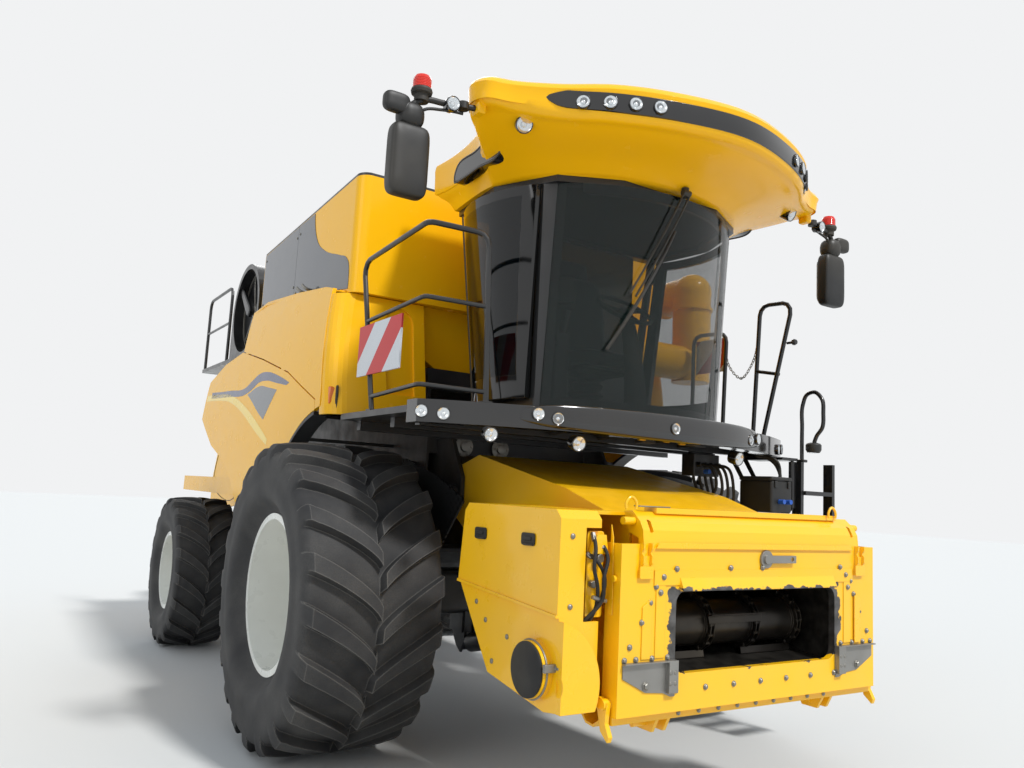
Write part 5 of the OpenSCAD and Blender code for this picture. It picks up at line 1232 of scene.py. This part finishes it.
# Tool box: a box and lid moulded in grained black plastic, slung under the platform on two steel straps
# and closed by two catches.
strap = [(-1.16, 1.90), (-1.12, 1.90), (-1.00, 2.075), (-1.045, 2.075)]
parts = [
    plate(rounded(0.22, 0.30, 0.02), 0.23, (1.29, -1.30, 1.66), LEFT, BACK, 0.012),
    plate(rounded(0.23, 0.31, 0.022), 0.03, (1.29, -1.30, 1.885), LEFT, BACK, 0.008),
]
for x in (1.22, 1.36):
    parts.append(plate(strap, 0.008, (x, 0, 0), BACK, UP, 0.001))
    parts.append(plate(rounded(0.03, 0.05, 0.006), 0.010, (x, -1.450, 1.86), LEFT, UP, 0.002))
piece("tool_box", parts, textured, "machine")

# Valve bank: a cast block painted grey with four ports on a rail under the platform, rubber hoses that
# loop from them and down from the deck, and plastic caps on the open couplings.
ports = (0.89, 0.95, 1.01, 1.07)
rail = [(-0.975, 2.06), (-0.935, 2.06), (-0.935, 2.09), (-0.975, 2.09)]
parts = [plate(rounded(0.26, 0.13, 0.008), 0.16, (0.98, -0.955, 1.90), LEFT, BACK, 0.004)]
parts += [pin((x, -1.015, 1.98), (x, -1.06, 1.98), 0.020, 12) for x in ports]
parts.append(plate(rail, 0.22, (0.87, 0, 0), BACK, UP, 0.002))
piece("valve_bank", parts, dark_enamel_and_painted_shade, "machine")
parts = []
for k, x in enumerate(ports):
    parts.append(bent([
        (x, -1.055, 1.98), (x + 0.01, -1.13, 1.965), (x + 0.03, -1.17, 1.88 - 0.02 * k),
        (x + 0.05, -1.13, 1.78 - 0.03 * k), (x + 0.02, -1.05, 1.76 - 0.02 * k), (x, -0.985, 1.86),
        (x, -0.975, 1.899),
    ], 40, 0.011, 10))
for k in range(3):
    parts.append(bent([
        (1.30 + 0.02 * k, -1.20, 2.068), (1.38, -1.30 - 0.02 * k, 2.02), (1.412, -1.33, 1.93 + 0.02 * k),
        (1.415, -1.32 + 0.02 * k, 1.78), (1.402, -1.30, 1.72),
    ], 30, 0.010, 10))
piece("left_hoses", parts, black_rubber, "machine")
# dust caps: soft blue plastic, pushed on the open couplings
caps_blue = enamel("blue_plastic_caps", "#1E56B4", rough=(0.35, 0.5), coat=0.0, dusty=0.1)
parts = [
    pin((x, y, z), (x, y - 0.045, z), 0.017, 16)
    for x, y, z in ((1.26, -1.452, 1.74), (1.33, -1.452, 1.74), (0.92, -1.06, 1.93))
]
piece("dust_caps", parts, caps_blue, "machine")

# Safety chain: welded links of zinc-plated wire, every second one turned a quarter, hooked to both rails.
RAIL_X = 1.49
LINK_STEPS, WIRE_SIDES = 16, 6
hang = through([
    (RAIL_X, -1.035, 2.98), (RAIL_X, -0.98, 2.80), (RAIL_X, -0.88, 2.70), (RAIL_X, -0.77, 2.78),
    (RAIL_X, -0.708, 2.95),
], 29)
turn = np.linspace(0, 2 * np.pi, LINK_STEPS, endpoint=False)[:, None]
small = np.linspace(0, 2 * np.pi, WIRE_SIDES, endpoint=False)[None, :, None]
parts = []
for k, (a, b) in enumerate(zip(hang[:-1], hang[1:])):
    way = (b - a) / np.linalg.norm(b - a)
    side = LEFT if k % 2 else np.cross(way, LEFT)
    ring = (a + b) / 2 + np.cos(turn) * way * 0.016 + np.sin(turn) * side * 0.009
    tangent = np.roll(ring, -1, 0) - np.roll(ring, 1, 0)
    tangent /= np.linalg.norm(tangent, axis=1, keepdims=True)
    flat = np.cross(way, side)
    tube = ring[:, None] + 0.0028 * (np.cos(small) * flat + np.sin(small) * np.cross(tangent, flat)[:, None])
    parts.append((tube.reshape(-1, 3), grid(LINK_STEPS + 1, WIRE_SIDES, True) % (LINK_STEPS * WIRE_SIDES)))
piece("safety_chain", parts, zinc, "machine")

# Small pieces of the left rail: the rung between its posts and a marker lamp's stub, painted steel bar
# welded on.
stub = [(0, 0), (0.022, 0), (0.024, 0.012), (0.018, 0.026), (0, 0.027)]
parts = [
    bent([(RAIL_X, -1.040, 2.74), (RAIL_X, -1.246, 2.70)], 8, 0.014, 12),
    bent([(RAIL_X, -1.320, 2.93), (RAIL_X, -1.375, 2.93)], 6, 0.010, 10),
    turned(stub, (RAIL_X, -1.375, 2.93), FRONT, 24),
]
piece("left_rail_rung", parts, black_enamel, "machine")

# Dust screen of the cooling air in its drum: a punched sheet on a spider of ribs, with the hollow suction
# arm that sweeps it; both turn on the hub. Pressed steel, bolted.
SCREEN = np.array([-1.335, 2.960, 3.380])
screen_sheet, tree, shader, place = surface("punched_screen_sheet")
fill(tree, shader, {
    "Base Color": linear("#26282A"), "Metallic": 0.6, "Roughness": 0.5,
    "Alpha": punched(tree, place, 111.0, 0.33),  # holes 6 mm across every 9 mm
})
disc = [(0, 0), (0.20, 0), (0.405, 0), (0.405, -0.0015), (0, -0.0015)]
piece("dust_screen_sheet", [turned(disc, SCREEN, -LEFT, 72)], screen_sheet, "machine")


def spoke_ways(deg):
    """The directions along and across a spoke of the screen at an angle from straight back."""
    a = math.radians(deg)
    return np.array([0, math.cos(a), math.sin(a)]), np.array([0, -math.sin(a), math.cos(a)])


hoop = [(0.392, -0.006), (0.410, -0.006), (0.410, 0.012), (0.392, 0.012), (0.392, -0.006)]
boss = [(0, 0), (0.062, 0), (0.062, 0.018), (0.045, 0.030), (0.022, 0.034), (0, 0.034)]
rib = [(0.055, -0.011), (0.398, -0.008), (0.398, 0.008), (0.055, 0.011)]
arm = [(-0.055, -0.035), (0.0, -0.055), (0.405, -0.030), (0.405, 0.030), (0.0, 0.055), (-0.055, 0.035)]
parts = [turned(hoop, SCREEN, -LEFT, 72), turned(boss, SCREEN, -LEFT, 32)]
for k in range(6):
    out, square = spoke_ways(60 * k + 15)
    parts.append(plate(rib, 0.010, SCREEN + (-0.003, 0, 0), -out, square, 0.002))
piece("dust_screen_spider", parts, zinc, "machine")
sweeper = plate(arm, 0.045, SCREEN + (-0.083, 0, 0), *spoke_ways(40), 0.010)
piece("suction_arm", [sweeper], black_enamel, "machine")

# Grain tank covers: four folded steel stiffeners welded across each sheet and a rubber lip where the two
# covers meet.
SLOPE = 0.130 / 2.370
hat = [(-0.045, 0), (-0.030, 0.018), (0.030, 0.018), (0.045, 0)]
for side, x in (("right", -1.38), ("left", 0.10)):
    parts = [
        plate(hat, 1.28, (x, y, 3.9505 - SLOPE * (y - 0.050)), BACK, UP, 0.003)
        for y in (0.34, 0.92, 1.50, 2.08)
    ]
    piece(f"cover_stiffeners_{side}", parts, black_enamel, f"tank_cover_{side}")
lip = [(-0.002, 0), (-0.002, 0.010), (0.010, 0.014), (0.034, 0.010), (0.040, 0)]
way = np.array([0, 1, -SLOPE]) / math.hypot(1, SLOPE)
parts = [plate(lip, 2.34, (0, 0.070, 3.9500) + 2.34 * way, LEFT, np.cross(LEFT, way), 0.002)]
piece("cover_lip", parts, black_rubber, "tank_cover_left")

# Unloading auger: rolled steel clamp bands round the tube and a cast elbow ring, all in the tube's yellow,
# and a black rubber spout pushed over the end.
TURRET = np.array([1.640, -0.160, 0.0])
root, tip = TURRET + (0, 0, 3.546), np.array([1.690, 5.500, 3.380])
way = (tip - root) / np.linalg.norm(tip - root)
band = [
    (0.155, -0.030), (0.162, -0.026), (0.162, -0.006), (0.170, -0.004), (0.170, 0.004), (0.162, 0.006),
    (0.162, 0.026), (0.155, 0.030), (0.155, -0.030),
]
collar = [(0.165, 0.0), (0.182, 0.004), (0.182, 0.028), (0.165, 0.034), (0.165, 0.0)]
parts = [turned(band, root + way * at, way, 48) for at in (0.36, 2.55, 4.70)]
parts.append(turned(collar, TURRET + (0, 0, 3.372), UP, 48))
piece("auger_bands", parts, yellow_enamel, "unloading_auger")
spout = [
    (0.151, -0.10), (0.156, -0.10), (0.158, -0.02), (0.162, 0.05), (0.170, 0.12), (0.164, 0.12),
    (0.156, 0.05), (0.151, -0.02), (0.151, -0.10),
]
mouth = np.array([1.700, 5.760, 3.250])
parts = [turned(spout, mouth, mouth - (1.690, 5.450, 3.380), 48)]
piece("auger_spout", parts, black_rubber, "unloading_auger")

# Engine bay and rear hood: hat-section stiffeners on the side walls, pressed louvres in the hood's sides,
# and a door seal with latches on each side of the rear hood.
WALL_X = 0.7805
hat = [(-0.040, 0), (-0.026, 0.022), (0.026, 0.022), (0.040, 0)]
stiffeners = [plate(hat, 0.96, (WALL_X, y, 2.82), BACK, LEFT, 0.003) for y in (3.62, 4.04, 4.46, 4.84)]
parts = [on_side(part, s) for s in (-1, 1) for part in stiffeners]
piece("wall_stiffeners", parts, black_enamel, "machine")
fin = [(0, 0), (0.017, -0.024), (0.019, -0.024), (0.019, -0.021), (0.004, 0.004)]
parts = []
for x, s in ((-0.6205, -1), (1.0505, 1)):
    for k in range(11):
        parts.append(plate(fin, 1.05, (x, 3.325 + s * 0.525, 3.06 + 0.042 * k), s * LEFT, UP, 0.0006))
piece("hood_louvres", parts, yellow_enamel, "machine")
door = through([
    (5.02, 1.62), (5.02, 2.55), (5.10, 2.63), (5.46, 2.61), (5.56, 2.57), (6.10, 2.20), (6.17, 2.10),
    (6.38, 1.66), (6.36, 1.56), (6.28, 1.54), (5.12, 1.54), (5.02, 1.62),
], 120)
seal = swept(np.stack([0 * door[:, 0] + 0.781, door[:, 0], door[:, 1]], -1), 0.0045, 8)
piece("hood_door_seal", [on_side(seal, s) for s in (-1, 1)], black_rubber, "machine")
latches = []
for y, z in ((5.30, 1.63), (6.05, 1.63), (5.08, 2.10)):
    grip = [(0.795, y - 0.028, z), (0.812, y - 0.020, z), (0.812, y + 0.020, z), (0.795, y + 0.028, z)]
    latches.append(plate(rounded(0.10, 0.045, 0.012), 0.016, (WALL_X, y, z), BACK, UP, 0.003))
    latches.append(bent(grip, 14, 0.005, 8))
parts = [on_side(part, s) for s in (-1, 1) for part in latches]
piece("hood_latches", parts, textured, "machine")

# Tail lamps: on the hood's slope a black tray on each side with ribbed red and amber lenses and a grey
# one for the reversing lamp, screwed on.
slope_top, slope_foot = np.array([0, 6.20, 2.25]), np.array([0, 6.457, 1.70])
down = (slope_foot - slope_top) / np.linalg.norm(slope_foot - slope_top)
tail_red = ribbed_lens("red_lamp_lens", "#8E0A0A", "#C41A16", 60.0, "X", 0.12)
for name, width, high, thick, x, material, slot in (
    ("trays", 0.30, 0.12, 0.012, 0.58, textured, "black_paint"),
    ("reds", 0.13, 0.10, 0.026, 0.645, tail_red, "beacon_red"),
    ("ambers", 0.07, 0.10, 0.026, 0.535, amber, "beacon_red"),
    ("clears", 0.055, 0.10, 0.024, 0.466, grey_plastic, "lamp_lens"),
):
    parts = [
        plate(rounded(width, high, 0.014), thick, slope_foot + (s * x, 0, 0) - down * 0.17, LEFT, down, 0.004)
        for s in (-1, 1)
    ]
    piece(f"tail_lamp_{name}", parts, material, "machine")

# Exhaust, engine and straw gear: a pipe of heat-tinted steel, a cast-iron block in grey paint under the
# hood, and knife drum and spreader discs of bare steel that the straw keeps scoured.
hot_pipe = enamel(
    "heat_tinted_pipe", "#5B4A40", "#8A7461", rough=(0.35, 0.55), coat=0.0, dusty=0.7, metallic=0.7
)
dress(hot_pipe, "exhaust")
cast_iron = enamel("painted_cast_iron", "#4A4D50", "#2A2622", rough=(0.5, 0.7), coat=0.0, dusty=0.5)
dress(cast_iron, "engine_block")
dress(steel, "chopper_rotor", "spreader_right", "spreader_left")
